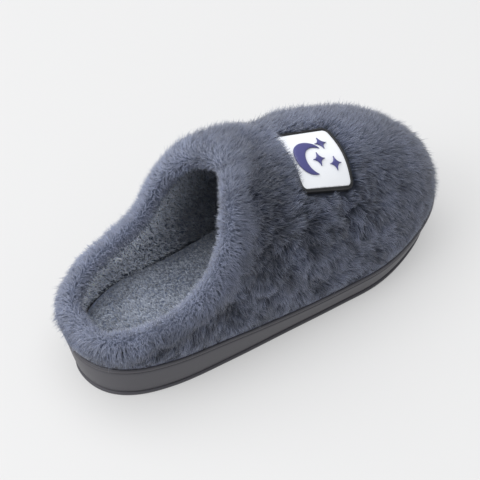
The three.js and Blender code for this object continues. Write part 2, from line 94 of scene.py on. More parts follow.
# %% One function turns sRGB hex colours to the linear values that shaders work in
def linear(code):
    """c / 12.92 up to 0.04045, and ((c + 0.055) / 1.055) ** 2.4 above it, for each channel."""
    srgb = np.array([int(code[i:i + 2], 16) for i in (1, 3, 5)]) / 255
    low = srgb / 12.92
    high = ((srgb + 0.055) / 1.055) ** 2.4
    return (*np.where(srgb <= 0.04045, low, high).tolist(), 1.0)


# %% One function adds a node with its settings and links
def add_node(tree, kind, settings=(), links=()):
    """Settings go to the node's own properties, or else to its sockets. Links name the socket to feed."""
    node = tree.nodes.new(kind)
    for key, value in dict(settings).items():
        if isinstance(key, str) and hasattr(node, key):
            setattr(node, key, value)
        else:
            node.inputs[key].default_value = value
    for key, source in dict(links).items():
        tree.links.new(source, node.inputs[key])
    return node


# %% A new material, and its shader's constants and links
def new_material(name):
    """A material and its node tree."""
    material = bpy.data.materials.new(name)
    material.use_nodes = True
    return material, material.node_tree


def set_shader(tree, constants, links=()):
    """Constants go to the Principled shader's own sockets, and each linked socket gets its source."""
    shader = tree.nodes["Principled BSDF"]
    for socket, value in constants.items():
        shader.inputs[socket].default_value = value
    for socket, source in dict(links).items():
        tree.links.new(source, shader.inputs[socket])


# %% Floor, studio panels and sky
FLOOR_SIZE = 6.0
FLOOR_GLOW = 0.38
PANEL_AIM = Vector((0, 0, 0.04))
floor_mesh = bpy.data.meshes.new("studio_floor")
reach = FLOOR_SIZE / 2
floor_mesh.from_pydata(
    [(-reach, -reach, 0), (reach, -reach, 0), (reach, reach, 0), (-reach, reach, 0)], [], [(0, 1, 2, 3)])
floor = bpy.data.objects.new("studio_floor", floor_mesh)
bpy.context.scene.collection.objects.link(floor)
floor_paint, floor_tree = new_material("studio_floor_paint")
set_shader(floor_tree, {
    "Base Color": linear("#A4A4A4"), "Roughness": 0.9, "Specular IOR Level": 0.1,
    "Emission Color": linear("#FFFFFF"), "Emission Strength": FLOOR_GLOW,
})
floor_mesh.materials.append(floor_paint)


def studio_panel(name, place, size, power):
    """A square white area light at a place in metres, turned to the slipper's middle."""
    light = bpy.data.lights.new(name, "AREA")
    light.size = size
    light.energy = power
    panel = bpy.data.objects.new(name, light)
    panel.location = place
    panel.rotation_mode = "QUATERNION"
    panel.rotation_quaternion = (PANEL_AIM - Vector(place)).to_track_quat("-Z", "Y")
    bpy.context.scene.collection.objects.link(panel)


studio_panel("overhead_panel", (-0.5, 0.5, 2.8), 4.2, 100.0)
studio_panel("heel_panel", (-2.2, 0.3, 1.7), 1.6, 28.0)

world = bpy.data.worlds.new("studio_air")
bpy.context.scene.world = world
world.use_nodes = True
sky = world.node_tree.nodes["Background"]
sky.inputs["Color"].default_value = linear("#F2F3F6")
sky.inputs["Strength"].default_value = 0.5
bpy.context.scene.view_settings.view_transform = "Standard"

# %% [markdown]
# ## The last's own curves
# A shoe's curves are drawn on its last. Here the last is two short tables: half widths of the ground
# outline, and the upper's meridians, the curves that climb from the sole to the roll. A smooth curve
# runs through each column, so every size in between is known, and the fine surfaces below lie on the
# same forms as the frame's solids.

# %% Sizes, in millimetres
LENGTH = 270.0
BALL_WIDTH = 102.0
SIDEWALL_FLARE = 4.9
HEEL_STACK = 29.0
FORE_STACK = 22.0
TOE_SPRING = 11.2
SPRING_START = 0.68
OUTSOLE_THICKNESS = 2.8
GROOVE_DEPTH = 1.3
EDGE_ROUND = 0.8
LIP_WIDTH = 2.2
LEDGE_DROP = 2.5
FIT_GAP = 0.3
THROAT_HEIGHT = 119.0
HEEL_RIM_HEIGHT = 40.0
OUTER_PILE = 5.0
INNER_PILE = 3.0
ROLL_RADIUS = 7.0
FOOT_TRIM = 1.5
UPPER_FOOT = SIDEWALL_FLARE - LIP_WIDTH - FIT_GAP - OUTER_PILE
FOOTBED_EDGE = UPPER_FOOT - INNER_PILE - FIT_GAP

# %% Tables of the outline, the sole's stack and the meridians
OUTLINE = {
    "along": [0, 0.02, 0.06, 0.15, 0.3, 0.45, 0.6, 0.72, 0.85, 0.94, 0.985, 1],
    "outer": [0, 0.37, 0.57, 0.75, 0.85, 0.91, 0.97, 1, 0.867, 0.635, 0.342, 0],
    "inner": [0, 0.345, 0.52, 0.685, 0.71, 0.795, 0.9, 1.015, 0.87, 0.7, 0.37, 0],
}
STACK = {"along": [0, 0.2, 0.5, 0.8, 1], "heel": [1, 0.92, 0, 0, 0]}
MERIDIANS = {
    "along": [0, 0.02, 0.08, 0.18, 0.3, 0.42, 0.55, 0.7, 0.85, 1],
    "back": [0.0074, 0.0148, 0.072, 0.171, 0.253, 0.306, 0.338, 0.364, 0.388, 0.398],
    "side": [0.94, 0.96, 1.015, 0.99, 0.915, 0.81, 0.6, 0.395, 0.23, 0.15],
    "rise": [0, 0.057, 0.126, 0.22, 0.403, 0.673, 0.862, 0.956, 0.985, 1],
    "lift": [0.077, 0.09, 0.1, 0.128, 0.168, 0.25, 0.328, 0.382, 0.437, 0.455],
    "reach": [0.1, 0.1, 0.09, 0.08, 0.08, 0.17, 0.3, 0.4, 0.45, 0.46],
    "droop": [0.076, 0.06, 0.05, 0.043, 0.042, 0.042, 0.044, 0.056, 0.092, 0.134],
    "belly": [0.057, 0.053, 0.05, 0.048, 0.065, 0.082, 0.078, 0.065, 0.041, 0.016],
}


# %% A smooth curve through a table's column
def smooth(places, values):
    """A cubic Hermite curve: each slope is the mean of its neighbours' rises, weighted by spacing."""
    places = np.asarray(places, float)
    values = np.asarray(values, float)
    step = np.diff(places)
    rise = np.diff(values) / step
    slopes = np.zeros(len(values))
    slopes[1:-1] = (rise[:-1] * step[1:] + rise[1:] * step[:-1]) / (step[1:] + step[:-1])
    slopes[0] = 2 * rise[0] - slopes[1]
    slopes[-1] = 2 * rise[-1] - slopes[-2]

    def curve(place):
        i = np.clip(np.searchsorted(places, place) - 1, 0, len(step) - 1)
        u = (place - places[i]) / step[i]
        v = 1 - u
        start = v * v * ((1 + 2 * u) * values[i] + u * step[i] * slopes[i])
        return start + u * u * ((3 - 2 * u) * values[i + 1] - v * step[i] * slopes[i + 1])

    return curve


outline_turns = np.arccos(1 - 2 * np.array(OUTLINE["along"]))
outer_width = smooth(outline_turns, OUTLINE["outer"])
inner_width = smooth(outline_turns, OUTLINE["inner"])
heel_share = smooth(STACK["along"], STACK["heel"])
meridian = {name: smooth(MERIDIANS["along"], MERIDIANS[name]) for name in MERIDIANS if name != "along"}


# %% Small helpers for arrays of points
def mix(low, high, share):
    """low + (high - low) * share."""
    return low + (high - low) * share


def unit(vectors):
    """Each vector over its own length."""
    return vectors / np.linalg.norm(vectors, axis=-1, keepdims=True)


def dot(a, b):
    """The sum of the products of the components, kept as a last axis of one."""
    return np.sum(a * b, axis=-1, keepdims=True)


def ease(share):
    """0 below 0, 1 above 1, and 3s^2 - 2s^3 between."""
    s = np.clip(share, 0, 1)
    return s * s * (3 - 2 * s)


# %% The ground outline and the sole's heights
def side(turn):
    """The turn runs from 0 at the heel, along the outer side to pi at the toe, and back along the inner side.
    along = (1 - cos(turn)) / 2, and the half width is read from the table of that side."""
    wrapped = np.mod(turn, TAU)
    outer = wrapped <= math.pi
    half = np.where(outer, wrapped, TAU - wrapped)
    width = np.where(outer, outer_width(half), inner_width(half)) * BALL_WIDTH / 2
    return (1 - np.cos(half)) / 2, np.where(outer, -1.0, 1.0), width


def ground_point(turn):
    """x from the share along the length, y from the half width on the turn's own side."""
    along, sign, width = side(turn)
    return np.stack([(along - 0.5) * LENGTH, sign * width, np.zeros_like(width)], axis=-1)


def outward(turn):
    """The outline's tangent turned a quarter clockwise."""
    ahead = unit(ground_point(turn + 1e-3) - ground_point(turn - 1e-3))
    return np.stack([ahead[..., 1], -ahead[..., 0], np.zeros_like(ahead[..., 0])], axis=-1)


def share_at(x):
    """The share of the length at x."""
    return np.clip(x / LENGTH + 0.5, 0, 1)


def floor_line(x):
    """Flat up to SPRING_START, then a parabola that lifts the toe by TOE_SPRING."""
    return TOE_SPRING * np.maximum(0, (share_at(x) - SPRING_START) / (1 - SPRING_START)) ** 2


def sidewall_top(x):
    """The stack's height over the floor line, from the fore stack to the heel stack."""
    return floor_line(x) + mix(FORE_STACK, HEEL_STACK, heel_share(share_at(x)))


def ledge_top(x):
    """The ledge inside the lip, on which upper and footbed stand."""
    return sidewall_top(x) - LEDGE_DROP


def edge_point(turn, grow, height):
    """A point of the outline moved outwards by grow, lifted to height(x)."""
    point = ground_point(turn) + outward(turn) * np.asarray(grow)[..., None]
    point[..., 2] = height(point[..., 0])
    return point


sample_turns = np.linspace(0, TAU, 721)
print("outline's perimeter, mm:", round(float(np.linalg.norm(
    np.diff(ground_point(sample_turns), axis=0), axis=1).sum()), 1))


# %% [markdown]
# ## Meshes from arrays
# A surface here is a grid of points, and its faces are the grid's cells. Written as whole arrays, a
# mesh of a hundred thousand faces takes a blink, where a loop over vertices would take minutes. Closed
# bodies are welded where grids meet, and their normals are then turned outwards.

# %% Grids, meshes and objects
def grid_faces(rows, columns, round_rows=False, round_columns=False, first=0):
    """Quads (i, j), (i, j+1), (i+1, j+1), (i+1, j) of a grid stored row by row, wrapped where it is round."""
    i, j = np.meshgrid(
        np.arange(rows if round_rows else rows - 1),
        np.arange(columns if round_columns else columns - 1), indexing="ij")
    below = i * columns
    above = (i + 1) % rows * columns
    ahead = (j + 1) % columns
    return first + np.stack([below + j, below + ahead, above + ahead, above + j], axis=-1).reshape(-1, 4)


def to_frame(points):
    """Millimetres in the maker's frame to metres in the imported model's frame."""
    return np.asarray(points, float).reshape(-1, 3) * MM + FRAME_SHIFT


def new_piece(name, points, faces, material, weld=False):
    """A mesh object at the origin, smooth-shaded. With weld, doubles are merged and normals turned out."""
    mesh = bpy.data.meshes.new(name)
    co = to_frame(points)
    mesh.vertices.add(len(co))
    mesh.vertices.foreach_set("co", co.ravel())
    mesh.loops.add(faces.size)
    mesh.loops.foreach_set("vertex_index", faces.ravel().astype(np.int32))
    mesh.polygons.add(len(faces))
    mesh.polygons.foreach_set("loop_start", np.arange(0, faces.size, faces.shape[1], dtype=np.int32))
    mesh.update(calc_edges=True)
    if weld:
        body = bmesh.new()
        body.from_mesh(mesh)
        bmesh.ops.remove_doubles(body, verts=body.verts, dist=0.002 * MM)
        bmesh.ops.dissolve_degenerate(body, edges=body.edges, dist=0.002 * MM)
        bmesh.ops.recalc_face_normals(body, faces=body.faces)
        body.to_mesh(mesh)
        body.free()
    mesh.polygons.foreach_set("use_smooth", np.ones(len(mesh.polygons), bool))
    mesh.materials.append(material)
    piece = bpy.data.objects.new(name, mesh)
    bpy.context.scene.collection.objects.link(piece)
    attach(piece, "root")
    triangles = sum(len(p.vertices) - 2 for p in mesh.polygons) if weld else len(faces) * (faces.shape[1] - 2)
    totals[name] = triangles
    print(f"{name}: {triangles} triangles")
    return piece


totals = {}


def bridge(ring, cells):
    """Fills a ring from side to side: point k of the outer half and its partner n - k of the inner half
    are joined by a straight row of cells."""
    half = len(ring) // 2
    partner = (-np.arange(half + 1)) % len(ring)
    share = np.linspace(0, 1, cells + 1)[None, :, None]
    return mix(ring[:half + 1, None], ring[partner][:, None], share)


def closed_stack(rings, bottom, top):
    """Points and quads of a body: stacked rings, and two bridged grids that close its ends."""
    count, columns = rings.shape[:2]
    faces = [grid_faces(count, columns, round_columns=True)]
    points = [rings.reshape(-1, 3)]
    first = count * columns
    for cap in (bottom, top):
        faces.append(grid_faces(*cap.shape[:2], first=first))
        points.append(cap.reshape(-1, 3))
        first += cap.shape[0] * cap.shape[1]
    return np.concatenate(points), np.concatenate(faces)


# %% [markdown]
# ## Foam and rubber
# The thick sole is EVA foam, moulded in one: its skin copies the satin-blasted mould, so it is matt and
# very finely grained, with a soft sheen where the wall turns to the light. The thin tread under it is
# a harder rubber, a little darker. Both are dielectrics with an IOR near 1.5. Grain of a fifth of a
# millimetre wouldn't show from here, so it is drawn at half a millimetre.

# %% Moulded foam and rubber
FOAM_GRAIN_MM = 0.5
FOAM_CLOUD_MM = 22.0


def per_mm(size):
    """The texture scale at which one feature is about this many millimetres."""
    return 1 / (size * MM)


def two_tones(tree, size_mm, detail, shade, pale):
    """The object's own coordinates, a noise of this size in them, and the colour it mixes from two shades."""
    where = add_node(tree, "ShaderNodeTexCoord").outputs["Object"]
    noise = add_node(tree, "ShaderNodeTexNoise", {"Scale": per_mm(size_mm), "Detail": detail},
                     {"Vector": where}).outputs[0]
    mixed = add_node(tree, "ShaderNodeMix", {"data_type": "RGBA", 6: linear(shade), 7: linear(pale)},
                     {0: noise})
    return where, noise, mixed.outputs[2]


def moulded(name, shade, pale, roughness, grain_mm, bump_mm):
    """A moulded skin: clouds of two near shades, and a fine grain that only moves the normal."""
    material, tree = new_material(name)
    where, clouds, colour = two_tones(tree, FOAM_CLOUD_MM, 3.0, shade, pale)
    grain = add_node(tree, "ShaderNodeTexNoise", {"Scale": per_mm(grain_mm), "Detail": 2.0},
                     {"Vector": where})
    bump = add_node(tree, "ShaderNodeBump", {"Strength": 0.5, "Distance": bump_mm * MM},
                    {"Height": grain.outputs[0]})
    gloss = add_node(tree, "ShaderNodeMapRange", {3: roughness - 0.06, 4: roughness + 0.06}, {0: clouds})
    set_shader(tree, {"IOR": 1.5},
               {"Base Color": colour, "Roughness": gloss.outputs[0], "Normal": bump.outputs[0]})
    return material


foam_skin = moulded("satin_eva_foam", "#424147", "#4D4C52", 0.46, FOAM_GRAIN_MM, 0.05)
tread_skin = moulded("moulded_tread_rubber", "#434248", "#4E4D53", 0.6, FOAM_GRAIN_MM, 0.08)

# %% [markdown]
# ## The foam sidewall
# The sidewall is a profile carried round the outline: a groove at its foot, a wall that flares as it
# climbs, a crease, a bead that finishes its upper edge, and the lip that the fur leans over. The rows
# of its table are heights and reaches, so the profile follows the stack as it grows towards the heel.

# %% The sidewall, in place of the midsole
SIDEWALL = {
    "rise": [0, 0, 0, 0.3, 0.62, 1, 1, 1, 1, 1, 1],
    "lift": [0, 0.5, 1.2, 0, 0, -4.0, -3.3, -2.7, -1.5, -0.35, 0],
    "flare": [0, 0, 0.08, 0.45, 0.8, 0.98, 1, 1, 1, 1, 1],
    "proud": [-GROOVE_DEPTH, -0.3, 0, 0, 0, 0, -0.9, 0.1, 0.7, 0.4, -0.5],
}
SOLE_COLUMNS = 480
PROFILE_STEPS = 3


def sole_ring(turn, rise, lift, flare, proud):
    """The outline grown by flare and proud, at a share of the wall's height plus a lift."""
    foot = OUTSOLE_THICKNESS + FIT_GAP
    return edge_point(turn, np.full_like(turn, flare * SIDEWALL_FLARE + proud),
                      lambda x: mix(floor_line(x) + foot, sidewall_top(x), rise) + lift)


sole_turns = np.arange(SOLE_COLUMNS) * TAU / SOLE_COLUMNS
profile_rows = np.arange(len(SIDEWALL["rise"]))
profile_at = np.linspace(0, profile_rows[-1], PROFILE_STEPS * profile_rows[-1] + 1)
profile = {name: smooth(profile_rows, SIDEWALL[name])(profile_at) for name in SIDEWALL}
rings = [sole_ring(sole_turns, *(profile[name][k] for name in SIDEWALL)) for k in range(len(profile_at))]
rings.append(sole_ring(sole_turns, 1, 0, 1, -LIP_WIDTH))
rings.append(sole_ring(sole_turns, 1, -LEDGE_DROP, 1, -LIP_WIDTH))
rings = np.stack(rings)
points, faces = closed_stack(rings, bridge(rings[0], 6), bridge(rings[-1], 6))
sidewall = new_piece("sidewall", points, faces, foam_skin, weld=True)
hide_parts("midsole")

# %% [markdown]
# ## The tread
# The tread is a slab under the foam, set back at the groove between them. Shallow channels cross its
# underside, as they do in the frame, and stop short of the edge. Its underside is a grid from side to
# side, so that each channel is a soft-edged trough in the grid's heights.

# %% The tread, in place of the outsole
TREAD_PITCH = 17.0
TREAD_WIDTH = 3.0
TREAD_DEPTH = 0.9
TREAD_MARGIN = 11.0
TREAD_WELT = 0.7
CHANNEL_EASE = 0.6
TREAD_COLUMNS = 960
TREAD_CELLS = 18


def channel_depth(points):
    """TREAD_DEPTH inside a channel, falling to 0 over CHANNEL_EASE at its sides and ends."""
    x = points[..., 0]
    count = int((LENGTH - 2 * TREAD_MARGIN) // TREAD_PITCH)
    nearest = np.clip(np.round(x / TREAD_PITCH), -(count - 1) / 2, (count - 1) / 2)
    from_middle = np.abs(x - nearest * TREAD_PITCH)
    edge = np.abs(points[:, :1, 1])
    outer_end = -points[:, :1, 1] - TREAD_MARGIN
    inner_end = points[:, -1:, 1] - TREAD_MARGIN
    inside = np.minimum(points[..., 1] + outer_end, inner_end - points[..., 1])
    across = ease((TREAD_WIDTH / 2 + CHANNEL_EASE / 2 - from_middle) / CHANNEL_EASE)
    return TREAD_DEPTH * across * ease(inside / CHANNEL_EASE + 0.5) * (edge > TREAD_MARGIN)


tread_turns = np.arange(TREAD_COLUMNS) * TAU / TREAD_COLUMNS
tread_rows = [
    (-EDGE_ROUND, 0), (0.1, 0.2 * EDGE_ROUND), (TREAD_WELT, EDGE_ROUND),
    (TREAD_WELT, OUTSOLE_THICKNESS - 1.2 * EDGE_ROUND), (0.2, OUTSOLE_THICKNESS - 0.6 * EDGE_ROUND),
    (-0.6 * GROOVE_DEPTH, OUTSOLE_THICKNESS - 0.3 * EDGE_ROUND), (-GROOVE_DEPTH, OUTSOLE_THICKNESS),
]
rings = np.stack([edge_point(tread_turns, np.full_like(tread_turns, grow), lambda x: floor_line(x) + lift)
                  for grow, lift in tread_rows])
under = bridge(rings[0], TREAD_CELLS)
under[..., 2] += channel_depth(under)
points, faces = closed_stack(rings, under, bridge(rings[-1], 2))
tread_layer = new_piece("tread_layer", points, faces, tread_skin, weld=True)
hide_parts("outsole")

# %% [markdown]
# ## The upper's wall
# The upper is cloth with pile on both faces, folded over a soft roll at its rim. Its meridians are
# cubic Bezier curves from the ledge to the roll. One section runs up the outside, over the roll and
# down the inside, and carried round the last it closes into one hollow wall, open at the collar and
# underneath. The cloth itself is only a few millimetres thick: the pile makes up the rest.

# %% The middle surface and its directions
def middle(turn, up):
    """The Bezier curve (1-u)^3 foot + 3u(1-u)^2 leave + 3u^2(1-u) arrive + u^3 rim."""
    along, sign, width = side(turn)
    value = {name: curve(along) for name, curve in meridian.items()}
    foot = edge_point(turn, UPPER_FOOT, lambda x: ledge_top(x) - FOOT_TRIM)
    rim = np.stack([
        (value["back"] - 0.5) * LENGTH,
        sign * value["side"] * width,
        mix(HEEL_RIM_HEIGHT, THROAT_HEIGHT, value["rise"]),
    ], axis=-1)
    leave = foot + outward(turn) * (value["belly"] * BALL_WIDTH / 2)[..., None]
    leave[..., 2] += value["lift"] * THROAT_HEIGHT
    arrive = rim + value["reach"][..., None] * (foot - rim) * [1, 1, 0]
    arrive[..., 2] -= value["droop"] * THROAT_HEIGHT
    u = np.asarray(up)[..., None]
    v = 1 - u
    return v ** 3 * foot + 3 * u * v * v * leave + 3 * u * u * v * arrive + u ** 3 * rim


def directions(turn, up):
    """climb runs up the meridian, and out is the tangent round the shoe crossed with it."""
    small = 1e-3
    climb = unit(middle(turn, np.minimum(up + small, 1)) - middle(turn, np.maximum(up - small, 0)))
    around = middle(turn + small, up) - middle(turn - small, up)
    return climb, unit(np.cross(around, climb))


# %% One section round the wall
def outer_depth(up):
    """From the outer pile at the foot to the roll's radius at the rim."""
    return mix(OUTER_PILE, ROLL_RADIUS, up * up)


def inner_depth(up):
    """From the inner pile at the foot to the roll's radius at the rim."""
    return mix(INNER_PILE, ROLL_RADIUS, up * up)


def wall_place(turn, way, sink):
    """way 0 to 1 climbs the outside, 1 to 2 rounds the roll and 2 to 3 descends the inside.
    Returns the point sunk by sink under the pile's face, the normal, and the tangent that points back
    along the way, which is down on the outside."""
    turn, way = np.broadcast_arrays(np.asarray(turn, float), np.asarray(way, float))
    start = (FOOT_TRIM + FIT_GAP) / (3 * meridian["lift"](side(turn)[0]) * THROAT_HEIGHT)
    up = mix(start, 1, np.clip(np.minimum(way, 3 - way), 0, 1))
    lean = math.pi * np.clip(way - 1, 0, 1)[..., None]
    climb, out = directions(turn, up)
    normal = out * np.cos(lean) + climb * np.sin(lean)
    flow = out * np.sin(lean) - climb * np.cos(lean)
    depth = np.where(way < 1.5, outer_depth(up), inner_depth(up)) - sink
    return middle(turn, up) + normal * depth[..., None], normal, flow


# %% [markdown]
# ### Creases
# Handling leaves soft troughs in a furry upper: one runs round under the roll, where the pile is turned
# over the seam, and shorter ones cross the flanks where the foot pushes the wall out. Beside each trough
# a low ridge rises. Each runs from one place of the wall to another, with its width and depth in
# millimetres. The cloth sinks along it, and above it the pile opens, its strands are shorter, and they
# are painted darker, as shade.

# %% Troughs and ridges of the outside
CREASE_DEPTH = 1.3
LINE_SOFTNESS = 5.0
TROUGHS = {
    "turn": [0.96, 0.7, 0.585, 0.475, 0.39, 0.50, 0.67, 0.34, 0.21, 1.88, 1.24, 1.36, 1.58],
    "way": [0.92, 0.9, 0.87, 0.56, 0.60, 0.14, 0.52, 0.66, 0.76, 0.80, 0.80, 0.40, 0.50],
    "to_turn": [0.72, 0.6, 0.48, 0.56, 0.36, 0.52, 0.62, 0.22, 0.07, 1.80, 1.32, 1.42, 1.52],
    "to_way": [0.9, 0.88, 0.66, 0.50, 0.40, 0.20, 0.38, 0.74, 0.70, 0.84, 0.60, 0.25, 0.30],
    "width": [21, 20, 25, 21, 19, 11, 16, 14, 13, 10, 18, 16, 14],
    "depth": [0.75, 0.85, 1.15, 1.1, 0.9, 0.8, 0.9, 0.8, 0.7, 0.5, 0.9, 0.8, 0.7],
}
trough_ends = [wall_place(np.array(TROUGHS[t]) * math.pi, np.array(TROUGHS[w]), 0.0)[0]
               for t, w in (("turn", "way"), ("to_turn", "to_way"))]


def trough_lines(points):
    """For each trough, the way from its line to the points, the distance over the width, and its row."""
    for start, end, width, depth in zip(*trough_ends, TROUGHS["width"], TROUGHS["depth"]):
        run = end - start
        share = np.clip(((points - start) @ run) / (run @ run), 0, 1)
        off_line = points - start - share[..., None] * run
        yield off_line, np.clip(np.linalg.norm(off_line, axis=-1) / width, 0, 1), width, depth


def creases(points):
    """How far the cloth sinks, and the slope of that: the sums of d (1 - 3 q) (1 - q)^2 and of its
    gradient -2 d (1 - q) (5 - 9 q) / w^2 times the way from the line, with q = (distance / w)^2."""
    sunk = np.zeros(points.shape[:-1])
    slope = np.zeros_like(points)
    for off_line, near, width, depth in trough_lines(points):
        q = near ** 2
        sunk += CREASE_DEPTH * depth * (1 - 3 * q) * (1 - q) ** 2
        slope -= off_line * (CREASE_DEPTH * depth * 2 * (1 - q) * (5 - 9 * q) / width ** 2)[..., None]
    return sunk, slope


def openness(points):
    """How far the pile opens, the sum of d (1 - q)^2, and the way apart, the same sum of the
    directions from the lines, eased within LINE_SOFTNESS of a line."""
    total = np.zeros(len(points))
    apart = np.zeros_like(points)
    for off_line, near, width, depth in trough_lines(points):
        here = depth * (1 - near ** 2) ** 2
        total += here
        apart += off_line * (here / (near * width + LINE_SOFTNESS))[:, None]
    return total, apart


# %% Cloth under the pile
OUTER_SINK = 2.5
INNER_SINK = 2.0
KNIT_DEPTH = 0.4
WALL_COLUMNS = 200


def cloth(name, shade, pale, weave_mm):
    """The pile's backing: a tight knit, seen only as the ground between tufts, where its dark shades are
    painted shade.
    """
    material, tree = new_material(name)
    _, knit, colour = two_tones(tree, weave_mm, 4.0, shade, pale)
    bump = add_node(tree, "ShaderNodeBump", {"Strength": 0.8, "Distance": KNIT_DEPTH * MM}, {"Height": knit})
    set_shader(tree, {"Roughness": 0.95, "Specular IOR Level": 0.2, "Sheen Weight": 0.15},
               {"Base Color": colour, "Normal": bump.outputs[0]})
    return material


# Painted shade: the flanks' backing is dark as the shade between tufts, and the roll's is painted lighter, as
# light on its top
flank_backing_painted_shade = cloth("knitted_backing_painted_shade", "#2B2F39", "#454A58", 1.6)
roll_backing_painted_light = cloth("roll_backing_painted_lighter", "#4C5366", "#6C7488", 1.6)
plush_ground = cloth("short_plush_backing", "#66718A", "#8590A8", 1.2)


def sink_at(way):
    """The pile is deeper outside than inside."""
    return mix(OUTER_SINK, INNER_SINK, ease(way - 1))


ways = np.concatenate([np.linspace(0, 1, 36), np.linspace(1, 2, 12)[1:], np.linspace(2, 3, 22)[1:]])
wall_turns = np.arange(WALL_COLUMNS) * TAU / WALL_COLUMNS
smooth_points = wall_place(wall_turns[None, :], ways[:, None], 0.0)[0]
sunk = creases(smooth_points)[0] * (ways < 1.5)[:, None]
wall_points = wall_place(wall_turns[None, :], ways[:, None], sink_at(ways)[:, None] + sunk)[0]
faces = grid_faces(len(ways), WALL_COLUMNS, round_rows=True, round_columns=True)
upper_skin = new_piece("upper_skin", wall_points, faces, flank_backing_painted_shade)
upper_skin.data.materials.append(roll_backing_painted_light)
upper_skin.data.materials.append(plush_ground)
face_ways = np.repeat(ways, WALL_COLUMNS)
# Painted shade on the flanks' backing, a lighter painted shade on the roll's, and the plush's backing inside
upper_skin.data.polygons.foreach_set("material_index", np.digitize(face_ways, [0.9, 2.0]).astype(np.int32))
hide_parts("upper")

# %% [markdown]
# ## The footbed
# The footbed is a padded board covered in short plush. It is domed from side to side, and its edge
# rolls down into the dark seam where it meets the wall. The board is made first, a little low, and the
# plush that covers it stands up to the frame's own height.

# %% The footbed's board, in place of the insole
INSOLE_EDGE = 7.6
INSOLE_ROUND = 2.4
INSOLE_CROWN = 1.6
INSOLE_SHOULDER = 16.0
FOOTBED_SINK = 1.8
FOOTBED_COLUMNS = 240
FOOTBED_CELLS = 20


def pad_rim(x):
    """The height of the footbed's edge."""
    return ledge_top(x) + FIT_GAP + INSOLE_EDGE


def pad_top(turn, across, sink):
    """Across from the outer edge (0) to the inner edge (1), straight in plan. The crown rises from the
    edges over INSOLE_SHOULDER."""
    grow = FOOTBED_EDGE - INSOLE_ROUND
    near = edge_point(turn, grow, pad_rim)
    far = edge_point(-turn, grow, pad_rim)
    point = mix(near, far, np.asarray(across)[..., None])
    width = np.linalg.norm((far - near)[..., :2], axis=-1)
    from_edge = width * np.minimum(across, 1 - across)
    point[..., 2] = pad_rim(point[..., 0]) + INSOLE_CROWN * ease(from_edge / INSOLE_SHOULDER) - sink
    return point


pad_turns = np.arange(FOOTBED_COLUMNS) * TAU / FOOTBED_COLUMNS
pad_rows = [(0, 0, FIT_GAP), (0, 1, -INSOLE_ROUND), (-0.1, 1, -0.62 * INSOLE_ROUND),
            (-0.3, 1, -0.3 * INSOLE_ROUND), (-0.62, 1, -0.08 * INSOLE_ROUND), (-1, 1, 0)]
rings = []
for turned_in, at_rim, lift in pad_rows:
    def height(x, at_rim=at_rim, lift=lift):
        return mix(ledge_top(x), pad_rim(x) - FOOTBED_SINK, at_rim) + lift
    rings.append(edge_point(pad_turns, FOOTBED_EDGE + turned_in * INSOLE_ROUND, height))
rings = np.stack(rings)
half_turns = pad_turns[:FOOTBED_COLUMNS // 2 + 1]
shares = np.linspace(0, 1, FOOTBED_CELLS + 1)
pad_grid = pad_top(half_turns[:, None], shares[None, :] + 0 * half_turns[:, None], FOOTBED_SINK)
points, faces = closed_stack(rings, bridge(rings[0], 2), pad_grid)
footbed = new_piece("footbed", points, faces, plush_ground, weld=True)
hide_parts("insole")

# %% [markdown]
# ## The badge
# The badge is moulded in soft vinyl: a black frame with a raised rim, a white face set into it, and a
# violet moon and three stars standing proud. It bends with the toe cap, so its heights are measured
# from the cap's own surface. A polynomial fitted to that surface in the badge's frame gives the height
# under any point, and each moulding is a flat shape lifted onto it.

# %% The badge's frame
BADGE_WIDTH = 44.0
BADGE_HEIGHT = 44.0
BADGE_CORNER = 5.0
BADGE_POCKET = 2.6
BADGE_PROUD = 1.0
BADGE_RIM = 1.8
BADGE_RECESS = 1.6
BADGE_AROUND = 0.81
BADGE_UP = 0.72
BADGE_TURN = math.radians(-84)

badge_turn = BADGE_AROUND * math.pi
badge_climb, badge_out = (d[0] for d in directions(np.array([badge_turn]), np.array([BADGE_UP])))
badge_upward = math.cos(BADGE_TURN) * badge_climb + math.sin(BADGE_TURN) * np.cross(badge_out, badge_climb)
badge_x = unit(np.cross(badge_upward, badge_out))
badge_y = np.cross(badge_out, badge_x)
BADGE_AXES = np.stack([badge_x, badge_y, badge_out])


def outer_point(turn, up):
    """The pile's outer face."""
    return middle(turn, up) + directions(turn, up)[1] * outer_depth(up)[..., None]


badge_origin = outer_point(np.array([badge_turn]), np.array([BADGE_UP]))[0]


def in_badge(points):
    """Points of the maker's frame, along the badge's own axes from its middle."""
    return (points - badge_origin) @ BADGE_AXES.T


# %% The cap's surface under the badge
def powers(x, y):
    """The products x^i y^j with i + j up to 4."""
    return np.stack([x ** i * y ** j for i in range(5) for j in range(5 - i)], axis=-1)


turn_patch, up_patch = np.meshgrid(
    np.linspace(badge_turn - 0.34, badge_turn + 0.34, 40), np.linspace(0.42, 0.98, 40), indexing="ij")
patch = in_badge(outer_point(turn_patch, up_patch)).reshape(-1, 3)
patch = patch[np.max(np.abs(patch[:, :2]), axis=1) < 0.62 * BADGE_WIDTH]
cap_fit = np.linalg.lstsq(powers(patch[:, 0], patch[:, 1]), patch[:, 2], rcond=None)[0]
misfit = np.abs(powers(patch[:, 0], patch[:, 1]) @ cap_fit - patch[:, 2]).max()
print("badge surface fitted to, mm:", round(float(misfit), 3))


def on_badge(x, y, height):
    """A point of the badge, lifted along its axis by the cap's height there plus its own."""
    lift = powers(x, y) @ cap_fit + height
    return badge_origin + np.stack([x, y, lift], axis=-1) @ BADGE_AXES


# %% Vinyl
black_vinyl = moulded("black_moulded_vinyl", "#121214", "#1B1B1E", 0.42, 0.6, 0.03)
white_vinyl = moulded("white_moulded_vinyl", "#EEF1F6", "#F7F9FC", 0.45, 0.6, 0.03)
violet_vinyl = moulded("violet_moulded_vinyl", "#45457A", "#52528A", 0.42, 0.6, 0.03)


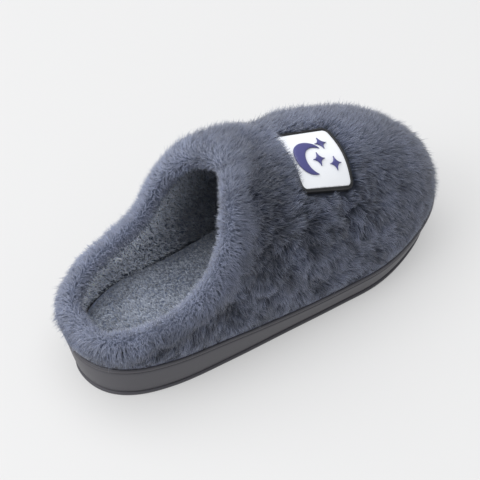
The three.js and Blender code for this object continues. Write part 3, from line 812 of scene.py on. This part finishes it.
# %% Plate and face
def card_ring(inset, count):
    """A rounded rectangle set in by inset, with its points evenly spaced, starting at the bottom's middle."""
    w = BADGE_WIDTH / 2 - inset
    h = BADGE_HEIGHT / 2 - inset
    r = BADGE_CORNER - inset
    angle = np.concatenate([np.linspace(q, q + math.pi / 2, 17) for q in np.arange(-1, 3) * math.pi / 2])
    quarter = np.repeat(np.arange(4), 17)
    x = np.array([1, 1, -1, -1])[quarter] * (w - r) + r * np.cos(angle)
    y = np.array([-1, 1, 1, -1])[quarter] * (h - r) + r * np.sin(angle)
    x, y = np.append(0, np.append(x, 0)), np.append(-h, np.append(y, -h))
    length = np.append(0, np.cumsum(np.hypot(np.diff(x), np.diff(y))))
    even = np.linspace(0, length[-1], count + 1)[:-1]
    return np.interp(even, length, x), np.interp(even, length, y)


CARD_COLUMNS = 144


def card_body(name, rows, material, node):
    """Rounded rectangles stacked at their insets and heights, closed by bridged grids on the cap's curve."""
    flat = np.stack([np.stack([*card_ring(inset, CARD_COLUMNS), np.full(CARD_COLUMNS, height)], axis=-1)
                     for inset, height in rows])
    points, faces = closed_stack(flat, bridge(flat[0], 20), bridge(flat[-1], 20))
    piece = new_piece(name, on_badge(*points.T), faces, material, weld=True)
    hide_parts(node)


badge_floor = BADGE_PROUD - BADGE_RECESS
face_top = BADGE_PROUD - 0.35 * BADGE_RECESS
badge_seat = FIT_GAP - BADGE_POCKET
card_body("badge_plate", [
    (0.3, badge_seat), (0, badge_seat + 0.4), (0, BADGE_PROUD - 0.5), (0.15, BADGE_PROUD - 0.15),
    (0.5, BADGE_PROUD), (BADGE_RIM - 0.5, BADGE_PROUD), (BADGE_RIM - 0.12, BADGE_PROUD - 0.12),
    (BADGE_RIM, BADGE_PROUD - 0.5), (BADGE_RIM, badge_floor),
], black_vinyl, "badge_base")
card_body("badge_face", [
    (BADGE_RIM + FIT_GAP, badge_floor + FIT_GAP), (BADGE_RIM + FIT_GAP, face_top - 0.2),
    (BADGE_RIM + FIT_GAP + 0.1, face_top - 0.05), (BADGE_RIM + FIT_GAP + 0.35, face_top),
], white_vinyl, "badge_field")

# %% Moon
MOON_RADIUS = 11.5
MOON_BITE = 0.82
MOON_SHIFT = 0.5
MOON_TURN = -0.45
MOTIF_HEIGHT = 1.1
MOON_PLACE = (-0.14 * BADGE_WIDTH, -0.02 * BADGE_HEIGHT)
motif_seat = face_top + FIT_GAP

bite = MOON_BITE * MOON_RADIUS
shift = MOON_SHIFT * MOON_RADIUS
crossing = (MOON_RADIUS ** 2 - bite ** 2 + shift ** 2) / (2 * shift)
outer_tip = math.acos(crossing / MOON_RADIUS)
inner_tip = math.acos((crossing - shift) / bite)


def motif_height(dome, top):
    """The seat, or a top that stands proud by 0.35 of the motif's height at its edge and all of it inside."""
    return motif_seat + (MOTIF_HEIGHT * (0.35 + 0.65 * dome) if top else 0 * dome)


def moon_grid(top):
    """Rows from the disc's arc (v = 0) to the bite's arc (v = 1), tip to tip. The top is domed by
    (1 - |2v - 1|^4)^(1/2), and lower where the horns are narrow."""
    t, v = np.meshgrid(np.linspace(0, 1, 73), np.linspace(0, 1, 15), indexing="ij")
    outer_angle = mix(outer_tip, TAU - outer_tip, t)
    inner_angle = mix(inner_tip, TAU - inner_tip, t)
    v_round = (1 - np.cos(math.pi * v)) / 2
    x = mix(MOON_RADIUS * np.cos(outer_angle), shift + bite * np.cos(inner_angle), v_round)
    y = mix(MOON_RADIUS * np.sin(outer_angle), bite * np.sin(inner_angle), v_round)
    width = np.hypot(x[:, :1] - x[:, -1:], y[:, :1] - y[:, -1:])
    dome = np.sqrt(np.clip(1 - np.abs(2 * v_round - 1) ** 4, 0, 1)) * np.sqrt(np.clip(width / 3, 0, 1))
    across = MOON_PLACE[0] + x * math.cos(MOON_TURN) - y * math.sin(MOON_TURN)
    upright = MOON_PLACE[1] + x * math.sin(MOON_TURN) + y * math.cos(MOON_TURN)
    return on_badge(across, upright, motif_height(dome, top))


def motif(name, low, high, node):
    """A violet body between two equal grids: the lower, the upper, and the walls between their edges."""
    rows, columns = low.shape[:2]
    rim = np.concatenate([
        np.stack([np.zeros(columns - 1, int), np.arange(columns - 1)], 1),
        np.stack([np.arange(rows - 1), np.full(rows - 1, columns - 1)], 1),
        np.stack([np.full(columns - 1, rows - 1), np.arange(columns - 1, 0, -1)], 1),
        np.stack([np.arange(rows - 1, 0, -1), np.zeros(rows - 1, int)], 1),
    ])
    border = rim[:, 0] * columns + rim[:, 1]
    after = np.roll(border, -1)
    size = rows * columns
    walls = np.stack([border, after, after + size, border + size], axis=-1)
    faces = np.concatenate([grid_faces(rows, columns), grid_faces(rows, columns, first=size), walls])
    points = np.concatenate([low.reshape(-1, 3), high.reshape(-1, 3)])
    piece = new_piece(name, points, faces, violet_vinyl, weld=True)
    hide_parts(node)


motif("moon", moon_grid(False), moon_grid(True), "badge_moon")

# %% Stars
STAR_RADIUS = 4.8
STAR_WAIST = 0.45
STAR_PLACES = [(0.17, 0.2), (0.25, -0.15), (-0.01, -0.06)]
star_power = 1 / (0.5 - math.log2(STAR_WAIST))


def star_grid(place, top):
    """Four points with hollow sides: |x|^p + |y|^p = R^p, with p set by the waist. The top is domed
    from the middle (v = 0) to the outline (v = 1)."""
    angle, v = np.meshgrid(np.linspace(0, TAU, 73), np.linspace(0, 1, 10), indexing="ij")
    c, s = np.cos(angle), np.sin(angle)
    radius = STAR_RADIUS * (np.abs(c) ** star_power + np.abs(s) ** star_power) ** (-1 / star_power)
    dome = np.sqrt(np.clip(1 - v ** 3, 0, 1))
    return on_badge(place[0] * BADGE_WIDTH + v * radius * c, place[1] * BADGE_HEIGHT + v * radius * s,
                    motif_height(dome, top))


for number, place in enumerate(STAR_PLACES, 1):
    motif(f"star_{number}", star_grid(place, False), star_grid(place, True), f"badge_star_{number}")

# %% [markdown]
# ## Pile: fur outside, short plush inside
# Faux fur is acrylic fibre. Its strands are painted dark at the roots, as shade where no light comes,
# and pale at the tips, as the light they catch. The fibres stick together in small tufts, lie the way
# they were combed and part over bends. Here each strand is a thin closed spindle with one bend in it,
# rooted on the cloth, and a few strands are longer than the rest. They are scattered evenly by area,
# drawn together towards the nearest point of a shaken lattice, and swept down the wall. Two numbers
# ride on every vertex, how far along the strand it is and how light its tuft is, a random tone with
# painted shade and light added, and the finish reads its colour from them. A little subsurface
# scattering stands for the light that fibres pass on to one another.

# %% Even scatter over a surface of two parameters
rng = np.random.default_rng(20)


def scatter(count, turns, ways, place, density):
    """Cells are drawn in proportion to area times density, by evenly stepped shares of their running
    sum, and a strand's root is a random place in its cell."""
    t, w = np.meshgrid(turns, ways, indexing="ij")
    corner = place(t, w)
    area = np.linalg.norm(np.cross(corner[1:, 1:] - corner[:-1, :-1], corner[:-1, 1:] - corner[1:, :-1]),
                          axis=-1) / 2
    centre = (corner[1:, 1:] + corner[:-1, :-1]) / 2
    weight = (area * density(centre, (w[1:, 1:] + w[:-1, :-1]) / 2)).ravel()
    running = np.cumsum(weight) / weight.sum()
    cell = np.searchsorted(running, (np.arange(count) + rng.random(count)) / count)
    i, j = np.unravel_index(np.minimum(cell, weight.size - 1), area.shape)
    turn = mix(turns[i], turns[i + 1], rng.random(count))
    way = mix(ways[j], ways[j + 1], rng.random(count))
    print(f"area {area.sum() / 100:.0f} cm2, {weight.sum() / 100:.0f} cm2 weighed, {count} strands")
    return turn, way


# %% Tufts and slow waves
def cell_noise(cell, salt):
    """A number from 0 to 1 for each lattice cell: the fraction of a large sine."""
    wave = np.sin(cell @ np.array([127.1, 311.7, 74.7]) + salt * 19.19) * 43758.5453
    return wave - np.floor(wave)


def tufts(points, pitch):
    """The nearest point of a cubic lattice of this pitch, each shaken by up to half a pitch, and the
    noise of its cell."""
    home = np.floor(points / pitch)
    best = np.full(len(points), np.inf)
    centre = np.zeros_like(points)
    chosen = np.zeros_like(points)
    for step in np.ndindex(3, 3, 3):
        cell = home + np.array(step) - 1
        shaken = cell + 0.5 + 0.9 * (np.stack([cell_noise(cell, k) for k in (1, 2, 3)], axis=-1) - 0.5)
        far = np.linalg.norm(shaken * pitch - points, axis=1)
        nearer = far < best
        best = np.where(nearer, far, best)
        centre[nearer] = (shaken * pitch)[nearer]
        chosen[nearer] = cell[nearer]
    return centre, chosen


def slow_wave(points, length, salt):
    """A smooth field from -1 to 1: the mean of four sines in different directions."""
    spread = np.random.default_rng(salt)
    total = np.zeros(len(points))
    for _ in range(4):
        heading = unit(spread.normal(size=3))
        total += np.sin(points @ heading * TAU / length * spread.uniform(0.7, 1.4) + spread.uniform(0, TAU))
    return total / 2.4


# %% Strands as one mesh
FUR_SOFTNESS = 0.75


def spindles(root, bend, tip, width):
    """A closed strand of three sides: a point at the root, three corners round the bend that stand at
    width * (cos(t) a + sin(t) b) with t = 2 pi k / 3, and a point at the tip. Also how each corner faces,
    and the faces."""
    heading = unit(tip - root)
    a = unit(np.cross(heading, rng.normal(size=root.shape)))
    b = np.cross(heading, a)
    angle = TAU * np.arange(3) / 3
    around = a[:, None] * np.cos(angle)[:, None] + b[:, None] * np.sin(angle)[:, None]
    corners = bend[:, None] + around * width[:, None, None]
    points = np.concatenate([root[:, None], corners, tip[:, None]], axis=1)
    facing = np.concatenate([-heading[:, None], around, heading[:, None]], axis=1)
    k = np.arange(3)
    after = (k + 1) % 3
    to_root = np.stack([0 * k, after + 1, k + 1], axis=1)
    to_tip = np.stack([0 * k + 4, k + 1, after + 1], axis=1)
    return points, facing, np.concatenate([to_root, to_tip])


def strand_mesh(name, root, bend, tip, width, tone, start, normal, material):
    """Many spindles in one mesh. The strand attribute runs from start at the root to 1 at the tip. Each
    corner's normal is blended towards the cloth's, so that the pile shades softly, as a fibre that
    lets light through does."""
    points, facing, pattern = spindles(root, bend, tip, width)
    per = points.shape[1]
    faces = (np.arange(len(root)) * per)[:, None, None] + pattern[None]
    piece = new_piece(name, points, faces.reshape(-1, 3), material)
    along = np.array([0.0, 0.5, 0.5, 0.5, 1.0])
    strand = mix(np.broadcast_to(start, len(root))[:, None], 1.0, along[None, :])
    for attribute, value in (("strand", strand.ravel()), ("tone", np.repeat(tone, per))):
        piece.data.attributes.new(attribute, "FLOAT", "POINT").data.foreach_set("value", value)
    soft = unit(mix(facing, normal[:, None], FUR_SOFTNESS))
    piece.data.normals_split_custom_set_from_vertices(soft.reshape(-1, 3))


# %% Acrylic pile, coloured along the strand
DARKEST = 0.35
LIGHTEST = 1.5
BODY_AT = 0.55
SCATTER_MM = 0.6


def pile_finish(name, root, body, tip, roughness, sheen):
    """Painted dark at the root, as shade where light doesn't reach, and palest at the tip, as light it
    catches. The tuft's tone, with its painted shade and light, multiplies the whole strand's colour by
    DARKEST to LIGHTEST. Sheen stands for the fibres' soft glance."""
    material, tree = new_material(name)
    strand = add_node(tree, "ShaderNodeAttribute", {"attribute_name": "strand"})
    tone = add_node(tree, "ShaderNodeAttribute", {"attribute_name": "tone"})
    ramp = add_node(tree, "ShaderNodeValToRGB", links={0: strand.outputs["Fac"]})
    ramp.color_ramp.elements[0].color = linear(root)
    ramp.color_ramp.elements[1].color = linear(tip)
    ramp.color_ramp.elements.new(BODY_AT).color = linear(body)
    value = add_node(tree, "ShaderNodeMapRange", {1: -1.0, 2: 1.0, 3: DARKEST, 4: LIGHTEST},
                     {0: tone.outputs["Fac"]})
    toned = add_node(tree, "ShaderNodeHueSaturation", links={"Value": value.outputs[0],
                                                             "Color": ramp.outputs[0]})
    set_shader(tree, {
        "Roughness": roughness, "IOR": 1.52, "Specular IOR Level": 0.35,
        "Sheen Weight": sheen, "Sheen Roughness": 0.45,
        "Subsurface Weight": 0.4, "Subsurface Radius": (1.0, 1.0, 1.0), "Subsurface Scale": SCATTER_MM * MM,
    }, {"Base Color": toned.outputs[0]})
    return material


# Each ramp runs from a root colour painted dark, as shade among the strands, to a pale tip painted as the
# light it catches
fur_fibre = pile_finish("blue_grey_acrylic_fur", "#1A1E28", "#414960", "#8C95AF", 0.6, 0.25)
lining_fibre = pile_finish("curled_grey_fleece", "#5F6C88", "#C4D1EA", "#F4F7FF", 0.7, 0.5)
footbed_fibre = pile_finish("trodden_grey_plush", "#3C424C", "#676F7D", "#ACB4C3", 0.7, 0.2)

# %% Where the fur grows
GUARD_STRANDS = 96000
FUR_LENGTH = 11.0
FUR_WIDTH = 0.17
TUFT_PITCH = 3.0
CLUMP_PITCH = 8.5
ROLL_COVER = 1.98
BADGE_REACH = 20.0
BADGE_CLEAR = 0.3


def throat_share(points):
    """0 by the heel, rising to 1 at the throat."""
    return ease((points[:, 0] + 60) / 50)


def fur_density(centre, way):
    """Fuller on the roll, where the strands spread apart over the bend."""
    return mix(1.0, 2.0, ease((way - 0.7) / 0.4)) * mix(1.0, 0.8, ease((way - 1.5) / 0.4))


def card_gap(local):
    """Signed distance to the badge's outline, and the direction away from it, along the badge's axes."""
    inner = np.array([BADGE_WIDTH, BADGE_HEIGHT]) / 2 - BADGE_CORNER
    q = np.abs(local[:, :2]) - inner
    outside = np.maximum(q, 0)
    gap = np.linalg.norm(outside, axis=1) + np.minimum(q.max(axis=1), 0) - BADGE_CORNER
    away = np.sign(local[:, :2]) * outside
    length = np.linalg.norm(away, axis=1, keepdims=True)
    gap = np.where(np.abs(local[:, 2]) > BADGE_REACH, 99.0, gap)
    return gap, (away / np.maximum(length, 1e-6)) @ BADGE_AXES[:2]


def fur_places(count):
    """Even places on the outside and the roll, clear of the badge, with all that the comb needs."""
    turn, way = scatter(count, np.linspace(0, TAU, 481), np.linspace(0, ROLL_COVER, 121),
                        lambda t, w: wall_place(t, w, OUTER_SINK)[0], fur_density)
    sunk, slope = creases(wall_place(turn, way, 0.0)[0])
    on_outside = 1 - ease((way - 1.1) / 0.3)
    root, normal, flow = wall_place(turn, way, OUTER_SINK + sunk * on_outside)
    normal = unit(normal + slope * on_outside[:, None])
    gap, away = card_gap(in_badge(root))
    keep = gap > BADGE_CLEAR
    return tuple(array[keep] for array in (turn, way, root, normal, flow, gap, away))


# %% [markdown]
# ### The comb
# A strand leaves the cloth nearly upright and bends over the way it is combed: down the wall, with a
# slow swirl. Strands hold together in small tufts, and tufts in clumps. On the flanks the pile is
# ruffled: each clump leans its own way, and where clumps part the strands are shorter and painted
# darker, as shade. Creases and the roll's inner edge are painted darker too. On the toe's top and the
# roll it lies smooth. Fur parts round the badge and is painted lighter beside it. At the sole it is
# trimmed: a strand that would end below the sole's top edge is laid out along the lip instead, with
# its tip a little above the edge.

# %% Comb, tuft and drape
DRAPE_CLEAR = -0.5
DRAPE_ABOVE = 1.2
DRAPE_TIPS = (0.6, 2.8)
FOOT_SHORT = 11.0
LIP_TRIM = 7.0
LENGTH_WAVE = 46.0
SWIRL_WAVE = 75.0
RUFFLE_WAVE = 26.0
TONE_WAVES = (24.0, 11.0)
PARTING_REACH = 12.0
LONG_SHARE = 0.06
LONG_STRETCH = 1.22
SMOOTH_TO_RUFFLED = {"stand": (0.85, 1.25), "rise": (0.42, 0.8), "pull": (0.3, 0.5), "tone": (0.25, 1.0)}


def past_lip(points, edge, out):
    """How far a point lies outside the sidewall's upper edge."""
    return dot(points - edge, out)


def drape(turn, way, flow, bend, tip):
    """Lays bend and tip along the lip where the tip would end below the sole's edge, and draws back tips
    that hang out over it."""
    out = outward(turn)
    edge = edge_point(turn, SIDEWALL_FLARE, sidewall_top)
    hangs = ((tip[:, 2] < edge[:, 2] + DRAPE_ABOVE) & (way < 1))[:, None]
    bend = bend + out * np.maximum(DRAPE_CLEAR - past_lip(bend, edge, out), 0) * hangs
    bend[:, 2] = np.where(hangs[:, 0], np.maximum(bend[:, 2], edge[:, 2] + 0.4), bend[:, 2])
    hanging = bend + out * 0.2 + flow * [1, 1, 0] * 1.4
    hanging[:, 2] = edge[:, 2] + rng.uniform(*DRAPE_TIPS, len(turn))
    hanging += out * np.maximum(DRAPE_CLEAR - past_lip(hanging, edge, out), 0)
    tip = np.where(hangs, hanging, tip)
    above = np.maximum(tip[:, 2:] - edge[:, 2:], 0)
    overhang = past_lip(tip, edge, out) + 0.2 - 0.5 * above
    return bend, tip - out * np.maximum(overhang, 0) * ((above < LIP_TRIM) & (way < 1)[:, None])


def to_middle(points, middles, normal):
    """The way to the tuft's middle, along the cloth."""
    pull = middles - points
    return pull - normal * dot(pull, normal)


def comb(places):
    """bend = root + 0.45 L first + 0.3 pull and tip = bend + 0.55 L second + 0.5 pull. first is the unit of
    stand * normal + 0.4 flow, second that of rise * normal + 0.9 flow, both a little shaken, and pull
    draws to the middles of tuft and clump. Returns bend, tip and tone: a random tone with painted shade
    and painted light added to it."""
    turn, way, root, normal, flow, gap, away = places
    count = len(turn)
    # Where it stands: in which tuft and clump, near a crease, on the roll, on a ruffled flank
    tuft_middle, tuft = tufts(root, TUFT_PITCH)
    clump_middle, clump = tufts(root, CLUMP_PITCH)
    to_tuft = to_middle(root, tuft_middle, normal)
    to_clump = to_middle(root, clump_middle, normal)
    edge_of_clump = ease(np.linalg.norm(to_clump, axis=1) / (0.5 * CLUMP_PITCH) - 0.4)
    wave = slow_wave(root, LENGTH_WAVE, 3)
    opened, apart = openness(root)
    on_roll = ease((way - 0.62) / 0.42)
    throat = throat_share(root)
    ruffled = ease((1.06 - normal[:, 2]) / 0.55) * (1 - on_roll * mix(0.85, 0.45, throat))
    ruffled = ruffled * (1 - 0.55 * ease((root[:, 0] - 40) / 60))
    share = {name: mix(*ends, ruffled) for name, ends in SMOOTH_TO_RUFFLED.items()}

    # Which way it lies
    turned = 0.45 * slow_wave(root, SWIRL_WAVE, 5) + 0.6 * ruffled * slow_wave(root, RUFFLE_WAVE, 6)
    turned += 1.2 * ruffled * (cell_noise(clump, 4) - 0.5) + 0.5 * ruffled * (cell_noise(tuft, 9) - 0.5)
    turned += 0.25 * rng.normal(size=count)
    flow = flow * np.cos(turned)[:, None] + np.cross(normal, flow) * np.sin(turned)[:, None]
    parted = np.clip(1 - gap / PARTING_REACH, 0, 1)[:, None] ** 1.5
    parted *= mix(0.15, 0.8, ease(0.5 + dot(away, flow)))
    flow = unit(flow * (1 - 0.8 * parted) + away * 1.2 * parted + apart)
    crest = ease((way - 1.0) / 0.35)
    flow = flow * mix(1.0, mix(0.55, -0.8, ease((way - 1.5) / 0.35)), crest)[:, None]

    # How long it is
    length = FUR_LENGTH * (0.76 + 0.2 * cell_noise(tuft, 7) + 0.2 * rng.random(count) + 0.06 * wave)
    length *= 1 - 0.42 * ease((way - 0.85) / 0.4) - 0.1 * ease((way - 1.6) / 0.4)
    length *= 1 - 0.35 * np.clip(1 - gap / 5, 0, 1)
    length *= np.where(rng.random(count) < LONG_SHARE, LONG_STRETCH, 1.0)
    above_lip = root[:, 2] - sidewall_top(root[:, 0])
    length *= mix(0.55, 1.0, ease(above_lip / FOOT_SHORT))
    shortened = ruffled * (0.22 * edge_of_clump + 0.16 * cell_noise(clump, 6))
    length *= 1 - shortened - 0.2 * np.clip(opened, 0, 1.2)

    # Its lower and upper part
    jitter = rng.normal(size=root.shape) * (1 + 0.3 * crest)[:, None]
    first = unit(share["stand"][:, None] * normal + 0.4 * flow + 0.12 * jitter)
    second = unit(share["rise"][:, None] * normal + 0.9 * flow + 0.2 * jitter)
    pull = share["pull"][:, None] * to_tuft + (0.2 * ruffled)[:, None] * to_clump
    bend = root + first * (0.45 * length)[:, None] + 0.3 * pull
    tip = bend + second * (0.55 * length)[:, None] + 0.5 * pull
    bend, tip = drape(turn, way, flow, bend, tip)

    # How light it is: a random tone, with painted shade and painted light added
    uneven = 0.8 * (cell_noise(tuft, 8) - 0.5) + 0.5 * (cell_noise(clump, 8) - 0.5) + 0.2 * wave
    uneven += 0.3 * slow_wave(root, TONE_WAVES[0], 15) + 0.3 * slow_wave(root, TONE_WAVES[1], 16)
    uneven += 0.3 * rng.normal(size=count)
    # Painted shade: darker at the edges of clumps, where they part
    uneven = (uneven + 0.1 - 0.5 * edge_of_clump) * share["tone"]
    # Painted shade in the creases and at the roll's inner edge, by the lining's seam; also darker on the roll
    # towards the throat
    uneven -= 0.6 * opened + 0.3 * on_roll * throat + 0.5 * ease((way - 1.65) / 0.3)
    # Painted light: lighter beside the badge, where the parted fur shows its roots
    uneven += 0.6 * np.clip(1 - gap / 22, 0, 1) * ease((normal[:, 1] + 0.5) / 0.4)
    return bend, tip, np.clip(uneven, -1, 1)


# %% The fur, in five pieces
def fur_parts(turn, way):
    """The wall in four quarters of equal number round the shoe, and the roll."""
    on_roll = way > 1
    quarter = np.searchsorted(np.quantile(turn[~on_roll], [0.25, 0.5, 0.75]), turn)
    names = ["outer_back", "outer_front", "inner_front", "inner_back"]
    return {**{name: ~on_roll & (quarter == k) for k, name in enumerate(names)}, "roll": on_roll}


places = fur_places(GUARD_STRANDS)
turn, way, root, normal = places[:4]
bend, tip, tone = comb(places)
width = FUR_WIDTH * rng.uniform(0.75, 1.25, len(root))
# Painted light on the roll: its strands start partway up the colour ramp, past the dark root's painted shade,
# a little less towards the throat
start = mix(0.0, 0.6, ease((way - 0.65) / 0.45)) * mix(1.0, 0.7, throat_share(root))
normal = unit(normal + [0.0, 0.0, 0.5] * ease((way - 0.85) / 0.2)[:, None])
for name, part in fur_parts(turn, way).items():
    strand_mesh(f"fur_{name}", root[part], bend[part], tip[part], width[part], tone[part], start[part],
                normal[part], fur_fibre)

# %% [markdown]
# ## Lining and footbed plush
# Inside, the pile is short, curled and nearly upright. Its strands are the same spindles, wider than
# the fur's and drawn into small tufts. They shorten in the seam under the roll, and are painted darker
# there, as shade; they are also painted darker towards the toe and down the wall, as shade deep in the
# shoe. Only the heel half can be seen into, so the pile thins out towards the toe, where nobody looks.

# %% The lining's pile
LINING_STRANDS = 26000
LINING_LENGTH = 5.8
LINING_WIDTH = 0.22
LINING_TUFT = 2.4
UPWARD = np.array([0.0, 0.0, 1.0])


def seen_from_collar(centre, way):
    """Full density behind the throat, falling to a tenth over 60 mm in front of it."""
    return mix(1.0, 0.1, ease((centre[..., 0] - 5) / 60))


turn, way = scatter(LINING_STRANDS, np.linspace(0, TAU, 361), np.linspace(ROLL_COVER - 0.06, 2.97, 81),
                    lambda t, w: wall_place(t, w, INNER_SINK)[0], seen_from_collar)
root, normal, flow = wall_place(turn, way, INNER_SINK)
centre, cell = tufts(root, LINING_TUFT)
to_centre = to_middle(root, centre, normal)
seam = 1 - ease((way - ROLL_COVER) / 0.2)
length = LINING_LENGTH * (0.75 + 0.25 * cell_noise(cell, 7) + 0.25 * rng.random(len(root))) * (1 - 0.5 * seam)
lean = unit(flow + 1.1 * rng.normal(size=root.shape))
bend = root + unit(normal + 0.25 * lean) * (0.5 * length)[:, None] + 0.35 * to_centre
tip = bend + unit(0.6 * normal + 0.7 * lean) * (0.5 * length)[:, None] + 0.45 * to_centre
low = ((root[:, 2] < pad_rim(root[:, 0]) - 1.5) & (way > 2))[:, None]
bend = np.where(low, root + 0.5 * normal, bend)
tip = np.where(low, root + normal, tip)
# Painted shade: darker in the seam under the roll, towards the toe and down the inner wall, with a random
# tone besides
tone = 0.5 * (cell_noise(cell, 8) - 0.5) + 0.25 * rng.normal(size=len(root)) + 0.6 - 0.9 * seam
tone += 0.25 - 1.4 * ease((root[:, 0] + 75) / 50) - 0.45 * ease((way - 2.35) / 0.3)
tone = np.clip(tone, -1, 1)
strand_mesh("lining_pile", root, bend, tip, LINING_WIDTH * rng.uniform(0.8, 1.2, len(root)), tone, 0.1,
            unit(normal + 2 * UPWARD), lining_fibre)

# %% The footbed's pile
PAD_STRANDS = 22000
PAD_LENGTH = 3.6
turn, across = scatter(PAD_STRANDS, np.linspace(0.02, math.pi - 0.02, 361), np.linspace(0, 1, 61),
                       lambda t, w: pad_top(t, w, FOOTBED_SINK), seen_from_collar)
root = pad_top(turn, across, FOOTBED_SINK)
centre, cell = tufts(root, LINING_TUFT)
to_centre = (centre - root) * [1, 1, 0]
lay = 0.9 * slow_wave(root, 55.0, 11)
sweep = np.stack([-np.cos(lay), np.sin(lay), np.zeros_like(lay)], axis=-1)
length = PAD_LENGTH * (0.75 + 0.35 * cell_noise(cell, 7) + 0.15 * rng.random(len(root)))
upright = np.broadcast_to(UPWARD, root.shape)
bend = root + unit(upright + 0.2 * sweep + 0.25 * rng.normal(size=root.shape)) * (0.5 * length)[:, None]
tip = bend + unit(0.5 * upright + 0.6 * sweep + 0.35 * rng.normal(size=root.shape)) * (0.5 * length)[:, None]
uneven = 0.8 * (cell_noise(cell, 8) - 0.5) + 0.2 * slow_wave(root, 30.0, 13) - 0.1
tone = np.clip(uneven + 0.3 * rng.normal(size=len(root)), -1, 1)
width = LINING_WIDTH * rng.uniform(0.8, 1.2, len(root))
strand_mesh("footbed_pile", root, bend + 0.25 * to_centre, tip + 0.5 * to_centre, width, tone, 0.25,
            upright, footbed_fibre)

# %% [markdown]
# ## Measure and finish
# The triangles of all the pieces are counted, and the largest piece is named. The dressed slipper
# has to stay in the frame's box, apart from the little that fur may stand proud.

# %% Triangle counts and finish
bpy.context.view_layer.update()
print("triangles in all:", sum(totals.values()), "largest piece:", max(totals, key=totals.get))
